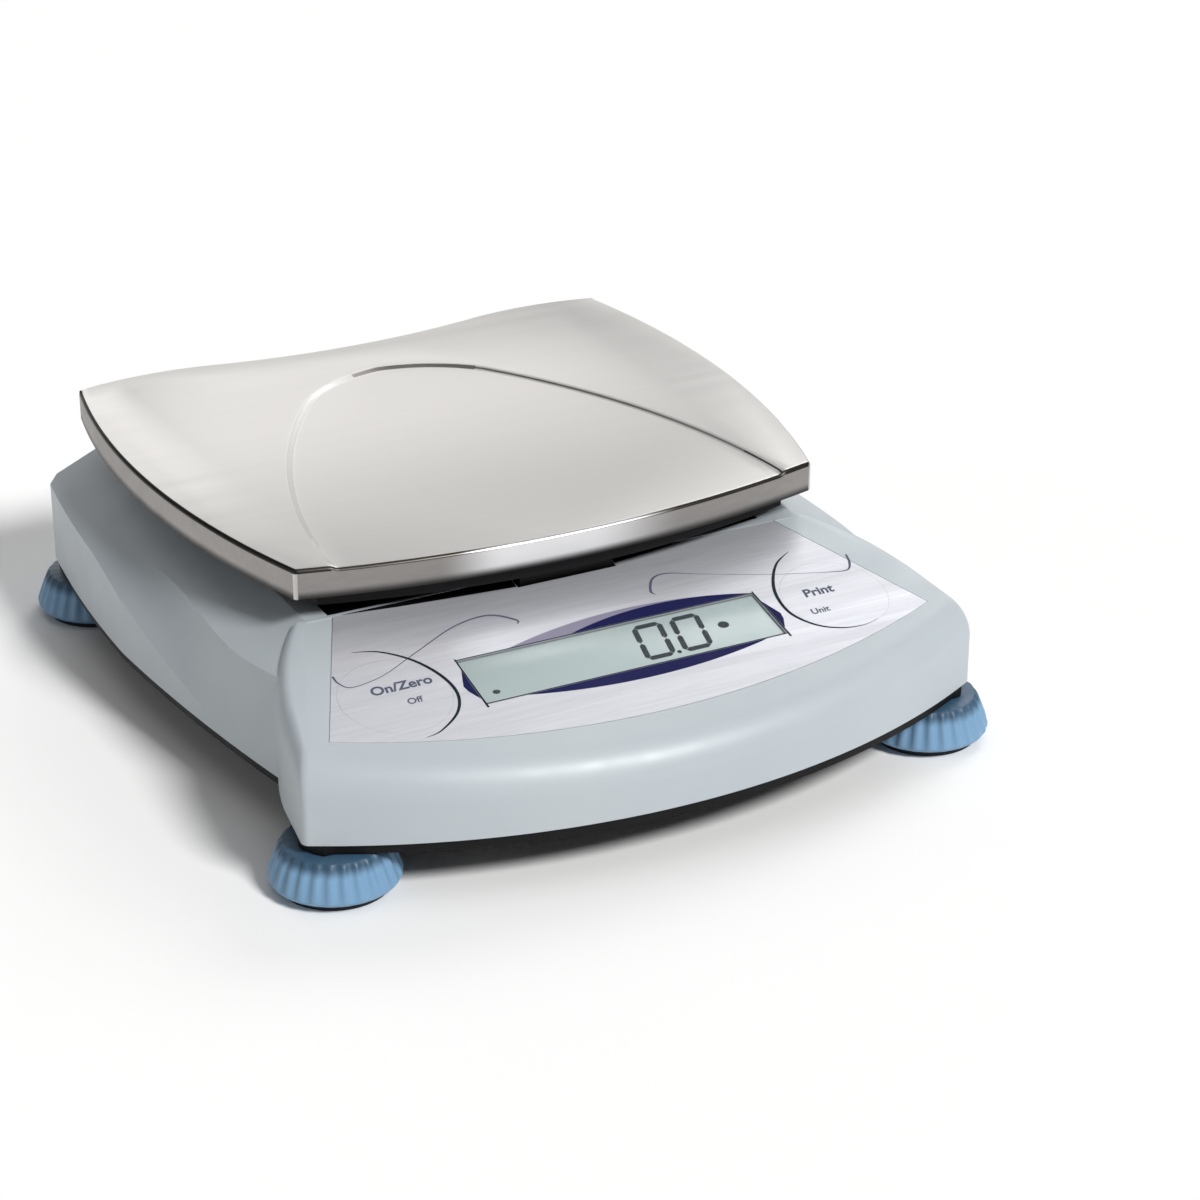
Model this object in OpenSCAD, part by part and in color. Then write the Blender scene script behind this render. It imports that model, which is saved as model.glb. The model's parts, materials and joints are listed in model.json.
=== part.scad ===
// Portable digital precision scale.
// Millimetres, +Z up, origin on the table under the middle of the housing, front towards -Y.

/* [Housing] */
// Housing length from the middle of the bowed front to the rear wall
body_l = 210; // [200:1:240]
// Width of the console across its two front corners
front_w = 186.3; // [180:0.5:200]
// How far the front bows out between its corners
front_bow = 24.3; // [16:0.5:28]
// Greatest width across the bulging sides
side_w = 191; // [186:0.5:204]
// Width across the rear corners
rear_w = 182.4; // [176:0.5:192]
// Width at the waist, where the sides run in behind the console
waist_w = 172; // [166:0.5:180]
// Height of the shell's lower edge over the table
shell_z = 15; // [14:0.5:20]
// Height of the flat deck under the pan
deck_z = 47; // [46:0.5:50]
// Height of the rear corners
shoulder_z = 37; // [34:0.5:40]
// Wall thickness of the moulded shell
wall = 2.5; // [2:0.1:3]
// Slope of each side's scoop where it starts, at the shoulder, in degrees
scoop_slope = 26; // [20:1:32]
// How much steeper the scoop has become at the waist, in degrees
scoop_twist = 58; // [45:1:60]

/* [Console] */
// Tilt of the control panel, in degrees
panel_tilt = 12; // [8:0.5:15]
// Height of the panel at the middle of the display
panel_z = 39.4; // [38.5:0.1:41]
// Radius of the roll between the panel and the front wall
roll_r = 8; // [4:0.5:9]
// Width of the display window
window_w = 83.2; // [70:0.2:86]
// Height of the display window, along the slope
window_h = 17.6; // [14:0.2:20]
// Diameter of each round key
key_d = 28; // [20:0.5:30]
// Distance from each end of the window to the middle of the key beside it
key_offset = 19.9; // [18:0.1:21]
// Travel of a key
key_travel = 0.8; // [0.4:0.1:1.2]

/* [Pan] */
// Height of the pan's top face over the table
pan_z = 62.2; // [60:0.2:66]
// Width across the pan's front corners
pan_front_w = 146.4; // [130:0.5:156]
// Width across the pan's rear corners
pan_rear_w = 160; // [140:0.5:164]
// Length of the pan along its sides
pan_l = 137.4; // [120:0.5:138]
// Bow of each side of the pan
pan_side_bow = 9.2; // [4:0.2:10]
// Bow of the pan's front edge
pan_front_bow = 9.7; // [4:0.2:12]
// Depth of the folded skirt
skirt = 8; // [6:0.2:9]
// Thickness of the sheet steel
sheet = 1; // [0.8:0.1:1.2]
// Depth of the wave in the pan's rear edge
pan_rear_wave = 3.2; // [0:0.2:4]
// Depth of the field that is pressed down inside the arch
arch_drop = 0.7; // [0.4:0.1:1]
// Width of the arch at the pan's front edge
arch_w = 130; // [110:1:134]

/* [Feet] */
// Greatest radius of a levelling foot
foot_r = 16.4; // [13:0.2:17]
// Radius of a foot's upper edge
foot_top_r = 12.6; // [10:0.2:13]
// Number of flutes round a foot
flutes = 26; // [18:1:30]
// Diameter of the foot's screw
stud_d = 5; // [4:0.5:5]
// Thickness of the rubber pad under a foot
pad_t = 1.6; // [1.2:0.2:2.4]

/* [Weighing cell] */
// Length of the load cell
cell_l = 130; // [120:1:134]
// Width of the load cell
cell_w = 30; // [24:1:34]
// Height of the load cell
cell_h = 22; // [18:0.5:22]

/* [Hidden] */
$fn = 48;
eps = 0.01;
gap = 0.3;

// Colours
c_shell = [0.76, 0.80, 0.83];
c_steel = [0.80, 0.78, 0.75];
c_blue = [0.43, 0.62, 0.80];
c_black = [0.05, 0.05, 0.06];
c_alu = [0.72, 0.73, 0.75];
c_board = [0.10, 0.38, 0.22];
c_brass = [0.75, 0.62, 0.30];

// Plan of the housing
rear_foot_out = 7.8;
front_y = -(body_l + rear_foot_out) / 2;
rear_y = front_y + body_l;
corner_y = front_y + front_bow;
column_y = corner_y + 13.7;
column_w = front_w - 5.5;
waist_y = column_y + 19;
bulge_y = rear_y - 69;
console_back_y = front_y + 75;
console_back_w = 2 * (waist_w / 2 - 10);
shoulder_y = rear_y - 21;
base_t = 2.5;
base_z = shell_z - base_t;
base_inset = 0.6;
lip_h = 2;

// Panel frame: its origin is the middle of the display window
panel_y = front_y + 39.4;
function panel_height(y) = panel_z + tan(panel_tilt) * (y - panel_y);
film_t = 0.4;
panel_lap = 0.5;

// Circle through three points, and the arc from the first to the last
function circle_centre(a, b, c) =
    let (d = 2 * (a.x * (b.y - c.y) + b.x * (c.y - a.y) + c.x * (a.y - b.y)))
    let (sa = a * a, sb = b * b, sc = c * c)
    [(sa * (b.y - c.y) + sb * (c.y - a.y) + sc * (a.y - b.y)) / d,
     (sa * (c.x - b.x) + sb * (a.x - c.x) + sc * (b.x - a.x)) / d];
function turn_to(from, to, through) =
    let (full = to - from)
    let (half = through - from)
    let (up = (full % 360 + 360) % 360)
    let (mid = (half % 360 + 360) % 360)
    mid < up ? up : up - 360;
function arc3(a, b, c, n) =
    let (o = circle_centre(a, b, c))
    let (r = norm(a - o))
    let (t0 = atan2(a.y - o.y, a.x - o.x))
    let (t1 = atan2(c.y - o.y, c.x - o.x))
    let (tb = atan2(b.y - o.y, b.x - o.x))
    let (sweep = turn_to(t0, t1, tb))
    [for (i = [0:n]) o + r * [cos(t0 + sweep * i / n), sin(t0 + sweep * i / n)]];
function mirrored(points) = [for (i = [len(points) - 1:-1:0]) [-points[i].x, points[i].y]];
function without_last(points) = [for (i = [0:len(points) - 2]) points[i]];
function without_first(points) = [for (i = [1:len(points) - 1]) points[i]];
function right_part(points) = [for (i = [floor(len(points) / 2):len(points) - 1]) points[i]];

// Outline of the console, moved in by d, from the middle of the front round its right half
corner_r = 3;
function console_half(d) =
    let (fc = [front_w / 2 - d, corner_y + 0.8 * d])
    let (front = right_part(arc3([-fc.x, fc.y], [0, front_y + d], fc, 28)))
    let (column = [column_w / 2 - d, column_y])
    let (corner = arc3(front[13] + [corner_r * 0.9, corner_r * 0.1], fc + [-0.8, 0.8], fc + [0.1, corner_r * 1.4], 3))
    let (flare = arc3(column, [(column.x + console_back_w / 2 - d) / 2 + 1.5, (column_y + console_back_y) / 2],
                      [console_back_w / 2 - d, console_back_y], 6))
    concat(without_last(front), corner, flare);
function console_outline(d) = concat(without_last(mirrored(without_first(console_half(d)))), console_half(d));

// Height of the roll's rings: angle 0 is the wall and 90 is the panel
function ring_inset(angle, r) = r * (1 - cos(angle));
function ring_drop(angle, r) = r * (1 - sin(angle));
function console_ring(d, drop) = [for (p = console_outline(d)) [p.x, p.y, panel_height(p.y) - drop]];
module console_block(inset, sink, steps, z0) {
    r = roll_r - inset;
    angles = [for (i = [0:steps]) 90 * i / steps];
    base_ring = [for (p = console_outline(inset)) [p.x, p.y, z0]];
    rings = concat([base_ring], [for (a = angles) console_ring(inset + ring_inset(a, r), sink + ring_drop(a, r))]);
    n = len(base_ring);
    last = len(rings) - 1;
    points = [for (ring = rings) for (p = ring) p];
    sides = [for (k = [0:last - 1]) for (i = [0:n - 1])
        let (j = (i + 1) % n)
        each [[k * n + i, (k + 1) * n + i, k * n + j], [k * n + j, (k + 1) * n + i, (k + 1) * n + j]]];
    floor_face = [[for (i = [0:n - 1]) i]];
    top_face = [[for (i = [n - 1:-1:0]) last * n + i]];
    polyhedron(points, concat(floor_face, sides, top_face), convexity = 6);
}

// Outline of the housing behind the console, moved in by d
function rear_half(d) =
    let (w = [waist_w / 2 - 2 - d, waist_y - 7])
    let (side = arc3(w, [(waist_w + side_w * 1.9) / 5.8 - d, (waist_y + bulge_y) / 2 + 4], [side_w / 2 - d, bulge_y], 14))
    let (back = arc3([side_w / 2 - d, bulge_y], [side_w / 2 - 1.1 - d, bulge_y + 34], [rear_w / 2 - d, rear_y - 3 - d], 10))
    concat([[waist_w / 2 - 14 - d, console_back_y - 40]], without_last(side), back, [[rear_w / 2 - 3 - d, rear_y - d]]);
function rear_outline(d) = concat(rear_half(d), mirrored(rear_half(d)));
module rear_plan(d) { polygon(rear_outline(d)); }

// Cross-section of the rear part: flat deck, sloping shoulders
deck_half = 70;
module deck_profile(drop) {
    polygon([
        [-side_w, 0], [-side_w, shoulder_z - drop], [-rear_w / 2 - 1, shoulder_z - drop],
        [-deck_half, deck_z - drop], [deck_half, deck_z - drop],
        [rear_w / 2 + 1, shoulder_z - drop], [side_w, shoulder_z - drop], [side_w, 0]
    ]);
}

// Scoop along one side. From the shoulder to the waist its lower edge falls, and its face twists
// from a shallow slope to a steep one. A share of 0 is the shoulder and 1 is the waist.
scoop_start_y = shoulder_y - 8;
scoop_end_y = waist_y + 14;
scoop_start_z = shoulder_z + 0.2;
scoop_end_z = shell_z + lip_h + 0.5;
scoop_below = 8;
scoop_above = 36;
scoop_steps = 40;
function ease(t) = t * t * (3 - 2 * t);
function scoop_share(y) = ease(max(0, min(1, (scoop_start_y - y) / (scoop_start_y - scoop_end_y))));
function wall_x(y) = lookup(y, [for (p = rear_half(0)) [p.y, p.x]]);
function scoop_section(y, sink) =
    let (share = scoop_share(y))
    let (slope = scoop_slope + scoop_twist * share)
    let (up = [-cos(slope), sin(slope)])
    let (edge = [wall_x(y), scoop_start_z + (scoop_end_z - scoop_start_z) * share])
    let (face = edge - sink * [sin(slope), cos(slope)])
    let (low = face - scoop_below * up)
    let (high = face + scoop_above * up)
    [[low.x, y, low.y], [high.x, y, high.y], [high.x, y, 2 * deck_z], [low.x, y, 2 * deck_z]];
module scoop(sink) {
    first_y = scoop_start_y - 1;
    run = first_y - (console_back_y - 40);
    points = [for (i = [0:scoop_steps]) each scoop_section(first_y - run * i / scoop_steps, sink)];
    sides = [for (i = [0:scoop_steps - 1]) for (k = [0:3])
        let (a = 4 * i + k)
        let (b = 4 * i + (k + 1) % 4)
        each [[a, b, a + 4], [b, b + 4, a + 4]]];
    end = 4 * scoop_steps;
    polyhedron(points, concat([[3, 2, 1, 0], [end, end + 1, end + 2, end + 3]], sides), convexity = 4);
}
module rear_block(d, sink, z0) {
    difference() {
        intersection() {
            translate([0, 0, z0]) linear_extrude(deck_z) rear_plan(d);
            translate([0, rear_y + 10, 0]) rotate([90, 0, 0]) linear_extrude(body_l + 20) deck_profile(sink);
        }
        scoop(sink);
        mirror([1, 0, 0]) scoop(sink);
        on_panel() translate([-side_w, -body_l, -sink - panel_lap])
            cube([2 * side_w, body_l + (console_back_y - 1 - panel_y) / cos(panel_tilt), deck_z]);
    }
}

// Places in the panel's own frame
module on_panel() {
    translate([0, panel_y, panel_z]) rotate([panel_tilt, 0, 0]) children();
}
key_x = window_w / 2 + key_offset;
key_y = 1.2;
key_r = key_d / 2;
key_clear = 0.15;
key_flange_r = key_r + 1.4;
module at_keys() {
    for (side = [-1, 1]) translate([side * key_x, key_y, 0]) children();
}

// Printed film: bowed front edge and flared sides, in the panel's frame
film_front_w = 2 * (key_x + 21.7);
film_back_w = 2 * (key_x + 1.5);
film_corner_y = -9.5;
film_front_y = -26;
film_back_y = 35.5;
module film_plan(grow) {
    front = arc3([-film_front_w / 2 - grow, film_corner_y], [0, film_front_y - grow],
                 [film_front_w / 2 + grow, film_corner_y], 24);
    back = [[film_back_w / 2 + grow, film_back_y + grow], [-film_back_w / 2 - grow, film_back_y + grow]];
    polygon(concat(front, back));
}
module window_plan(grow) {
    square([window_w + 2 * grow, window_h + 2 * grow], center = true);
}

// Feet
front_foot_x = front_w / 2 - 9.75;
rear_foot_x = rear_w / 2 - 9.3;
front_foot_y = corner_y + 4.9;
rear_foot_y = rear_y + rear_foot_out - foot_r;
foot_x = [-front_foot_x, front_foot_x, -rear_foot_x, rear_foot_x];
foot_y = [front_foot_y, front_foot_y, rear_foot_y, rear_foot_y];
foot_h = base_z - gap;
stud_r = stud_d / 2;
stud_play = 0.05;
insert_r = stud_r + 1;
boss_r = insert_r + 1.2;
boss_z = 30;
stud_top = 27;
module at_foot(i) { translate([foot_x[i], foot_y[i], 0]) children(); }
module at_feet() { for (i = [0:3]) at_foot(i) children(); }

// Housing screws
screw_x = [-50, 50, -62, 62];
screw_y = [front_y + 19, front_y + 19, rear_y - 11, rear_y - 11];
screw_r = 1.5;
screw_boss_r = 3.6;
screw_head_r = 3;
module at_screws() { for (i = [0:3]) translate([screw_x[i], screw_y[i], 0]) children(); }

// Weighing mechanism
pan_front_y = console_back_y - 2.2;
pan_rear_y = pan_front_y + pan_l;
cell_front = console_back_y - 5;
cell_y = cell_front + cell_l / 2;
cell_rear = cell_front + cell_l;
cell_z = shell_z + 4;
cell_top = cell_z + cell_h;
pad_w = cell_w - 4;
pad_l = 26;
spacer_top = deck_z + 3;
support_t = 2.5;
support_z = spacer_top;
support_inset = 7;
support_front_inset = 3.2;
support_rim = 4.5;
rib_t = 1.8;
post_r = 5;
cushion_r = 7;
cushion_grip = 3;
cushion_t = 4;
cushion_foot = pan_z - sheet - cushion_t - cushion_grip;
cushion_places = [
    [-44, pan_front_y + 36.2, cushion_foot - arch_drop], [44, pan_front_y + 36.2, cushion_foot - arch_drop],
    [-52, pan_rear_y - 27.2, cushion_foot], [52, pan_rear_y - 27.2, cushion_foot]
];
rib_h = cushion_foot - arch_drop - gap - support_z;
module at_cushions() { for (p = cushion_places) translate(p) children(); }
module at_support_bolts() {
    for (x = [-8, 8]) for (y = [7, 19]) translate([x, cell_front + y, 0]) children();
}
hook_thread_r = 1.65;
hook_thread_l = 8;
hook_hole_r = 7;
module at_hook() { translate([0, cell_front + 13, 0]) children(); }
// Opening in the housing for the spacer that carries the pan support
module support_slot() {
    translate([-pad_w / 2 - 1, cell_front, deck_z - 6]) cube([pad_w + 2, pad_l - 1, 12]);
}
module at_cell_bolts() {
    for (x = [-8, 8]) for (y = [7, 21]) translate([x, cell_rear - y, 0]) children();
}

// Lock, level and battery places
lock_x = 44;
lock_y = console_back_y + 22;
lock_r = 8;
vial_x = -44;
vial_y = lock_y;
vial_r = 7;
cell_d = 14.5;
cell_len = 50.5;
battery_x = -62;
battery_y = console_back_y + 8;
bay_w = 2 * cell_d + 3;
bay_l = 2 * cell_len + 8;
door_inset = 3;
jack_x = 52;
jack_z = 25;
jack_r = 5.5;

// Pan: tray of folded sheet with a pressed arch
function pan_half(d) =
    let (f = [pan_front_w / 2 - d, pan_front_y + d])
    let (b = [pan_rear_w / 2 - d, pan_rear_y - d])
    let (crest = [pan_rear_w * 0.24, b.y + pan_rear_wave * 0.2])
    let (front = right_part(arc3([-f.x, f.y], [0, pan_front_y - pan_front_bow + d], f, 24)))
    let (side = arc3(f, [(f.x + b.x) / 2 + pan_side_bow, (f.y + b.y) / 2], b, 24))
    let (shoulder = arc3(b, [pan_rear_w * 0.37, b.y + pan_rear_wave * 0.9], crest, 8))
    let (hollow = arc3(crest, [0, b.y - pan_rear_wave], [-crest.x, crest.y], 16))
    concat(without_last(front), without_last(side), without_last(shoulder), [for (p = hollow) if (p.x > 0.1) p]);
function pan_outline(d) = concat(without_last(mirrored(without_first(pan_half(d)))), pan_half(d));
arch_tip = pan_rear_y - 21.7;
function arch_half(d) =
    let (foot = [arch_w / 2 - d, pan_front_y - 3.4])
    let (hip = [arch_w * 0.21 - 0.8 * d, arch_tip - 13.5 - 0.7 * d])
    let (side = arc3(foot, [arch_w * 0.408 - d, arch_tip - 61.5 - 0.3 * d], hip, 14))
    let (tip = arc3(hip, [arch_w * 0.11, arch_tip - 4.2 - d], [0, arch_tip - d], 6))
    concat([[foot.x, foot.y - 20]], without_last(side), tip);
module arch_plan(d) {
    polygon(concat(arch_half(d), without_first(mirrored(arch_half(d)))));
}
module weighing_pan() color(c_steel) {
    difference() {
        union() {
            difference() {
                translate([0, 0, pan_z - skirt]) linear_extrude(skirt) polygon(pan_outline(0));
                translate([0, 0, pan_z - skirt - 1]) linear_extrude(skirt - sheet + 1) polygon(pan_outline(sheet));
            }
            translate([0, 0, pan_z - arch_drop - sheet]) linear_extrude(sheet) intersection() {
                polygon(pan_outline(sheet / 2));
                arch_plan(-sheet);
            }
        }
        translate([0, 0, pan_z - arch_drop]) linear_extrude(arch_drop + 1) arch_plan(0);
    }
}
module pan_cushions() color(c_black) {
    at_cushions() difference() {
        cylinder(r = cushion_r, h = cushion_t + cushion_grip);
        translate([0, 0, -1]) cylinder(r = post_r, h = cushion_grip + 1);
    }
}
// Outline of the support: well inside the pan's sides, where fingers lift it, and close to its front
module support_plan(d) {
    intersection() {
        polygon(pan_outline(support_front_inset + d));
        translate([0, support_front_inset - support_inset, 0]) polygon(pan_outline(support_inset + d));
    }
}
module pan_support() color(c_black) {
    difference() {
        union() {
            translate([0, 0, support_z]) linear_extrude(support_t) support_plan(0);
            translate([0, 0, support_z]) linear_extrude(support_t + support_rim) difference() {
                support_plan(0);
                support_plan(2);
            }
            for (p = cushion_places) {
                translate([p.x - rib_t / 2, pan_front_y + support_front_inset, support_z])
                    cube([rib_t, pan_l - 2 * support_inset - 1 - pan_rear_wave, rib_h]);
                translate([-pan_front_w / 2 + support_inset, p.y - rib_t / 2, support_z])
                    cube([pan_front_w - 2 * support_inset, rib_t, rib_h]);
            }
            for (p = cushion_places) translate([p.x, p.y, support_z]) cylinder(r = post_r, h = p.z + cushion_grip - support_z);
        }
        at_support_bolts() translate([0, 0, support_z - 1]) cylinder(r = 2.2, h = support_t + 2);
        translate([lock_x, lock_y, support_z - 1]) cylinder(r = lock_r + 2, h = support_t + 2);
        translate([vial_x, vial_y, support_z - 1]) cylinder(r = vial_r + 2, h = support_t + 2);
    }
}
module support_screws() color(c_steel) {
    at_support_bolts() {
        translate([0, 0, support_z + support_t]) cylinder(r = 3.6, h = 2.2);
        translate([0, 0, cell_top - 10]) cylinder(r = 2, h = support_z + support_t - cell_top + 10);
    }
}
module load_cell() color(c_alu) {
    difference() {
        translate([-cell_w / 2, cell_front, cell_z]) cube([cell_w, cell_l, cell_h]);
        for (y = [-13, 13])
            translate([-cell_w, cell_y + y, cell_z + cell_h / 2]) rotate([0, 90, 0]) cylinder(r = cell_h * 0.36, h = 2 * cell_w);
        translate([-cell_w, cell_y - 13, cell_z + cell_h * 0.36]) cube([2 * cell_w, 26, cell_h * 0.28]);
        at_support_bolts() translate([0, 0, cell_top - 12]) cylinder(r = 2, h = 13);
        at_cell_bolts() translate([0, 0, cell_z - 1]) cylinder(r = 2, h = 13);
        at_hook() translate([0, 0, cell_z - 1]) cylinder(r = hook_thread_r, h = hook_thread_l + 1);
    }
}
module strain_gauges() color(c_brass) {
    for (y = [-13, 13]) for (z = [cell_z - 0.3, cell_top])
        translate([-4, cell_y + y - 3.5, z]) cube([8, 7, 0.3]);
}
module cell_spacer() color(c_alu) {
    difference() {
        translate([-pad_w / 2, cell_rear - 1 - pad_l, shell_z]) cube([pad_w, pad_l, cell_z - shell_z]);
        at_cell_bolts() translate([0, 0, shell_z - 1]) cylinder(r = 2.2, h = 10);
    }
}
module support_spacer() color(c_black) {
    difference() {
        translate([-pad_w / 2, cell_front + 1, cell_top]) cube([pad_w, pad_l - 3, spacer_top - cell_top]);
        at_support_bolts() translate([0, 0, cell_top - 1]) cylinder(r = 2.2, h = 20);
    }
}
module cell_screws() color(c_steel) {
    at_cell_bolts() {
        translate([0, 0, base_z + 0.2]) cylinder(r = 3.4, h = 1.1);
        translate([0, 0, base_z + 0.2]) cylinder(r = 2, h = cell_z + 9 - base_z);
    }
}
module overload_stops() color(c_brass) {
    for (x = [-12, 12]) translate([x, cell_front + 34, shell_z]) {
        cylinder(r = 3, h = 2, $fn = 6);
        cylinder(r = 1.5, h = cell_z - shell_z - 0.4);
    }
}

// Upper housing: console and rear part joined in one hollow moulding
module upper_housing() color(c_shell) {
    difference() {
        union() {
            console_block(0, 0, 6, shell_z - 1);
            rear_block(0, 0, shell_z - 2);
        }
        translate([-side_w, -body_l, 0]) cube([2 * side_w, 2 * body_l, shell_z]);
        difference() {
            union() {
                console_block(wall, wall, 3, shell_z - 3);
                rear_block(wall, wall, shell_z - 4);
            }
            at_screws() cylinder(r = screw_boss_r, h = 60);
        }
        at_screws() translate([0, 0, shell_z - 1]) cylinder(r = screw_r - 0.25, h = 12);
        on_panel() {
            translate([0, 0, -film_t]) linear_extrude(4) film_plan(0.15);
            translate([0, 0, -10]) linear_extrude(20) window_plan(0.4);
            at_keys() translate([0, 0, -10]) cylinder(r = key_r + key_clear, h = 20);
        }
        support_slot();
        translate([lock_x, lock_y, deck_z - 6]) cylinder(r = lock_r + gap, h = 12);
        translate([vial_x, vial_y, deck_z - 6]) cylinder(r = vial_r + 0.1, h = 12);
        translate([jack_x, rear_y + 5, jack_z]) rotate([90, 0, 0]) cylinder(r = jack_r + 0.1, h = 12);
        translate([-66, rear_y - 5, 22]) cube([7, 12, 3]);
    }
}

// Base: black tray with a register lip, foot bosses, screw seats and the battery bay
module base_plan(d) {
    polygon(rear_outline(d));
    polygon(console_outline(d));
}
module base() color(c_black) {
    difference() {
        union() {
            translate([0, 0, base_z]) linear_extrude(base_t) base_plan(base_inset);
            translate([0, 0, shell_z - eps]) linear_extrude(lip_h) difference() {
                base_plan(wall + gap);
                base_plan(wall + gap + 1.8);
            }
            at_main_screws() translate([0, 0, shell_z - eps]) cylinder(r = 3, h = main_z - shell_z);
            intersection() {
                at_feet() translate([0, 0, shell_z - eps]) cylinder(r = boss_r, h = boss_z - shell_z);
                translate([0, 0, shell_z - 1]) linear_extrude(60) base_plan(wall + gap);
            }
            translate([battery_x - 1.5, battery_y - 1.5, shell_z - eps]) difference() {
                cube([bay_w + 3, bay_l + 3, 18]);
                translate([1.5, 1.5, -1]) cube([bay_w, bay_l, 17.5]);
            }
        }
        at_feet() translate([0, 0, base_z - 1]) cylinder(r = insert_r, h = 30);
        at_screws() translate([0, 0, base_z - 1]) cylinder(r = screw_r + 0.2, h = 20);
        at_screws() translate([0, 0, base_z - 1]) cylinder(r = screw_head_r + 0.2, h = 2.2);
        at_screws() translate([0, 0, shell_z]) cylinder(r = screw_boss_r + gap, h = 20);
        at_cell_bolts() translate([0, 0, base_z - 1]) cylinder(r = 2.2, h = 20);
        at_cell_bolts() translate([0, 0, base_z - 1]) cylinder(r = 3.6, h = 2.4);
        translate([battery_x, battery_y, base_z - 1]) cube([bay_w, bay_l, 5]);
        translate([battery_x - door_inset, battery_y - door_inset, base_z - 1])
            cube([bay_w + 2 * door_inset, bay_l + 2 * door_inset, 1 + 1.3]);
        at_hook() translate([0, 0, base_z - 1]) cylinder(r = hook_hole_r, h = base_t + 2);
        at_main_screws() translate([0, 0, shell_z]) cylinder(r = standoff_hole_r, h = 20);
    }
}

// Control panel pieces
module control_overlay() color(c_alu) {
    difference() {
        on_panel() translate([0, 0, -film_t]) linear_extrude(film_t) film_plan(0);
        on_panel() translate([0, 0, -1]) linear_extrude(2) window_plan(0.1);
        on_panel() at_keys() translate([0, 0, -1]) cylinder(r = key_r + key_clear, h = 2);
        support_slot();
    }
}
window_t = 1.2;
lcd_t = 2.8;
lcd_z = -window_t - gap - lcd_t;
module display_window() color([0.75, 0.82, 0.80, 0.5]) {
    on_panel() translate([0, 0, -window_t]) linear_extrude(window_t) window_plan(0);
}
module lcd_module() color([0.70, 0.76, 0.72]) {
    on_panel() translate([0, 0, lcd_z]) linear_extrude(lcd_t) window_plan(-0.2);
}
module lcd_holder() color(c_black) {
    on_panel() difference() {
        translate([0, 0, -board_drop]) linear_extrude(board_drop - wall - 0.1) window_plan(4.2);
        translate([0, 0, lcd_z]) linear_extrude(board_drop) window_plan(0.1);
        translate([0, 0, -board_drop - 1]) linear_extrude(board_drop) window_plan(-2);
        at_keys() translate([0, 0, -board_drop - 1]) cylinder(r = key_flange_r + 0.25, h = board_drop);
    }
}
board_drop = 9;
board_w = 2 * key_x + 33;
board_h = 26;
module display_board() color(c_board) {
    on_panel() translate([-board_w / 2, -board_h / 2 + 2, -board_drop - 1.6]) cube([board_w, board_h, 1.6]);
}
module key_switches() color([0.2, 0.2, 0.22]) {
    on_panel() at_keys() {
        translate([-3, -3, -board_drop]) cube([6, 6, 3]);
        translate([0, 0, -board_drop + 3 - eps]) cylinder(r = 1.7, h = 0.6 + eps);
    }
}
module key_cap() {
    translate([0, 0, -wall]) cylinder(r = key_r, h = wall);
    difference() {
        translate([0, 0, -wall - 1.2]) cylinder(r = key_flange_r, h = 1.1);
        translate([0, 0, -wall - 1.3]) cylinder(r = key_r - 2, h = 0.7);
    }
    translate([0, 0, -board_drop + 3.6 + key_travel + 0.1]) cylinder(r = 2.2, h = board_drop - wall - 4);
}
module left_key() color(c_alu) { on_panel() translate([-key_x, key_y, 0]) key_cap(); }
module right_key() color(c_alu) { on_panel() translate([key_x, key_y, 0]) key_cap(); }

// Electronics behind the weighing cell
main_x = 24;
main_y = console_back_y + 16;
standoff_hole_r = 1.3;
main_w = 44;
main_l = 88;
main_z = shell_z + 5;
module at_main_screws() {
    for (x = [4, main_w - 4]) for (y = [4, main_l - 4]) translate([main_x + x, main_y + y, 0]) children();
}
module main_board() color(c_board) {
    difference() {
        translate([main_x, main_y, main_z]) cube([main_w, main_l, 1.6]);
        at_main_screws() translate([0, 0, main_z - 1]) cylinder(r = 1.4, h = 4);
    }
}
module board_parts() color([0.13, 0.13, 0.14]) {
    translate([main_x + 10, main_y + 22, main_z + 1.6]) cube([14, 14, 1.6]);
    translate([main_x + 12, main_y + 48, main_z + 1.6]) cube([9, 12, 2]);
    translate([main_x + 32, main_y + 30, main_z + 1.6]) cylinder(r = 4, h = 11);
    translate([main_x + 32, main_y + 44, main_z + 1.6]) cylinder(r = 4, h = 11);
    translate([main_x + 28, main_y + 62, main_z + 1.6]) cylinder(r = 6, h = 5.5);
    translate([main_x + 10, main_y + 6, main_z + 1.6]) cube([22, 5, 6]);
}
module board_screws() color(c_steel) {
    at_main_screws() {
        translate([0, 0, main_z + 1.6]) cylinder(r = 2.4, h = 1.4);
        translate([0, 0, shell_z + 0.2]) cylinder(r = 1.2, h = main_z + 1.6 - shell_z);
    }
}
module ribbon_cable() color([0.7, 0.7, 0.72]) {
    x0 = main_x + 12;
    bend_y = main_y - 22;
    translate([x0, 0, 0]) rotate([90, 0, 90]) linear_extrude(18) polygon([
        [main_y + 7, main_z + 7.6], [main_y + 7, main_z + 10], [bend_y, 34], [bend_y - 14, 30.7],
        [bend_y - 15, 31.3], [bend_y + 0.4, 35.2], [main_y + 8, main_z + 10.8], [main_y + 8, main_z + 7.6]
    ]);
}
module power_jack() color(c_black) {
    translate([jack_x, rear_y - 0.5, jack_z]) rotate([90, 0, 0]) difference() {
        union() {
            cylinder(r = jack_r, h = wall);
            translate([0, 0, wall - 0.5]) cylinder(r = 4.8, h = 11);
            translate([-5.4, -5.4, wall - 0.2]) cube([10.8, 10.8, 10]);
        }
        translate([0, 0, -1]) cylinder(r = 2.8, h = 10);
    }
    translate([jack_x, rear_y - 1, jack_z]) rotate([90, 0, 0]) translate([0, 0, 0.5]) cylinder(r = 1, h = 9);
}
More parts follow.
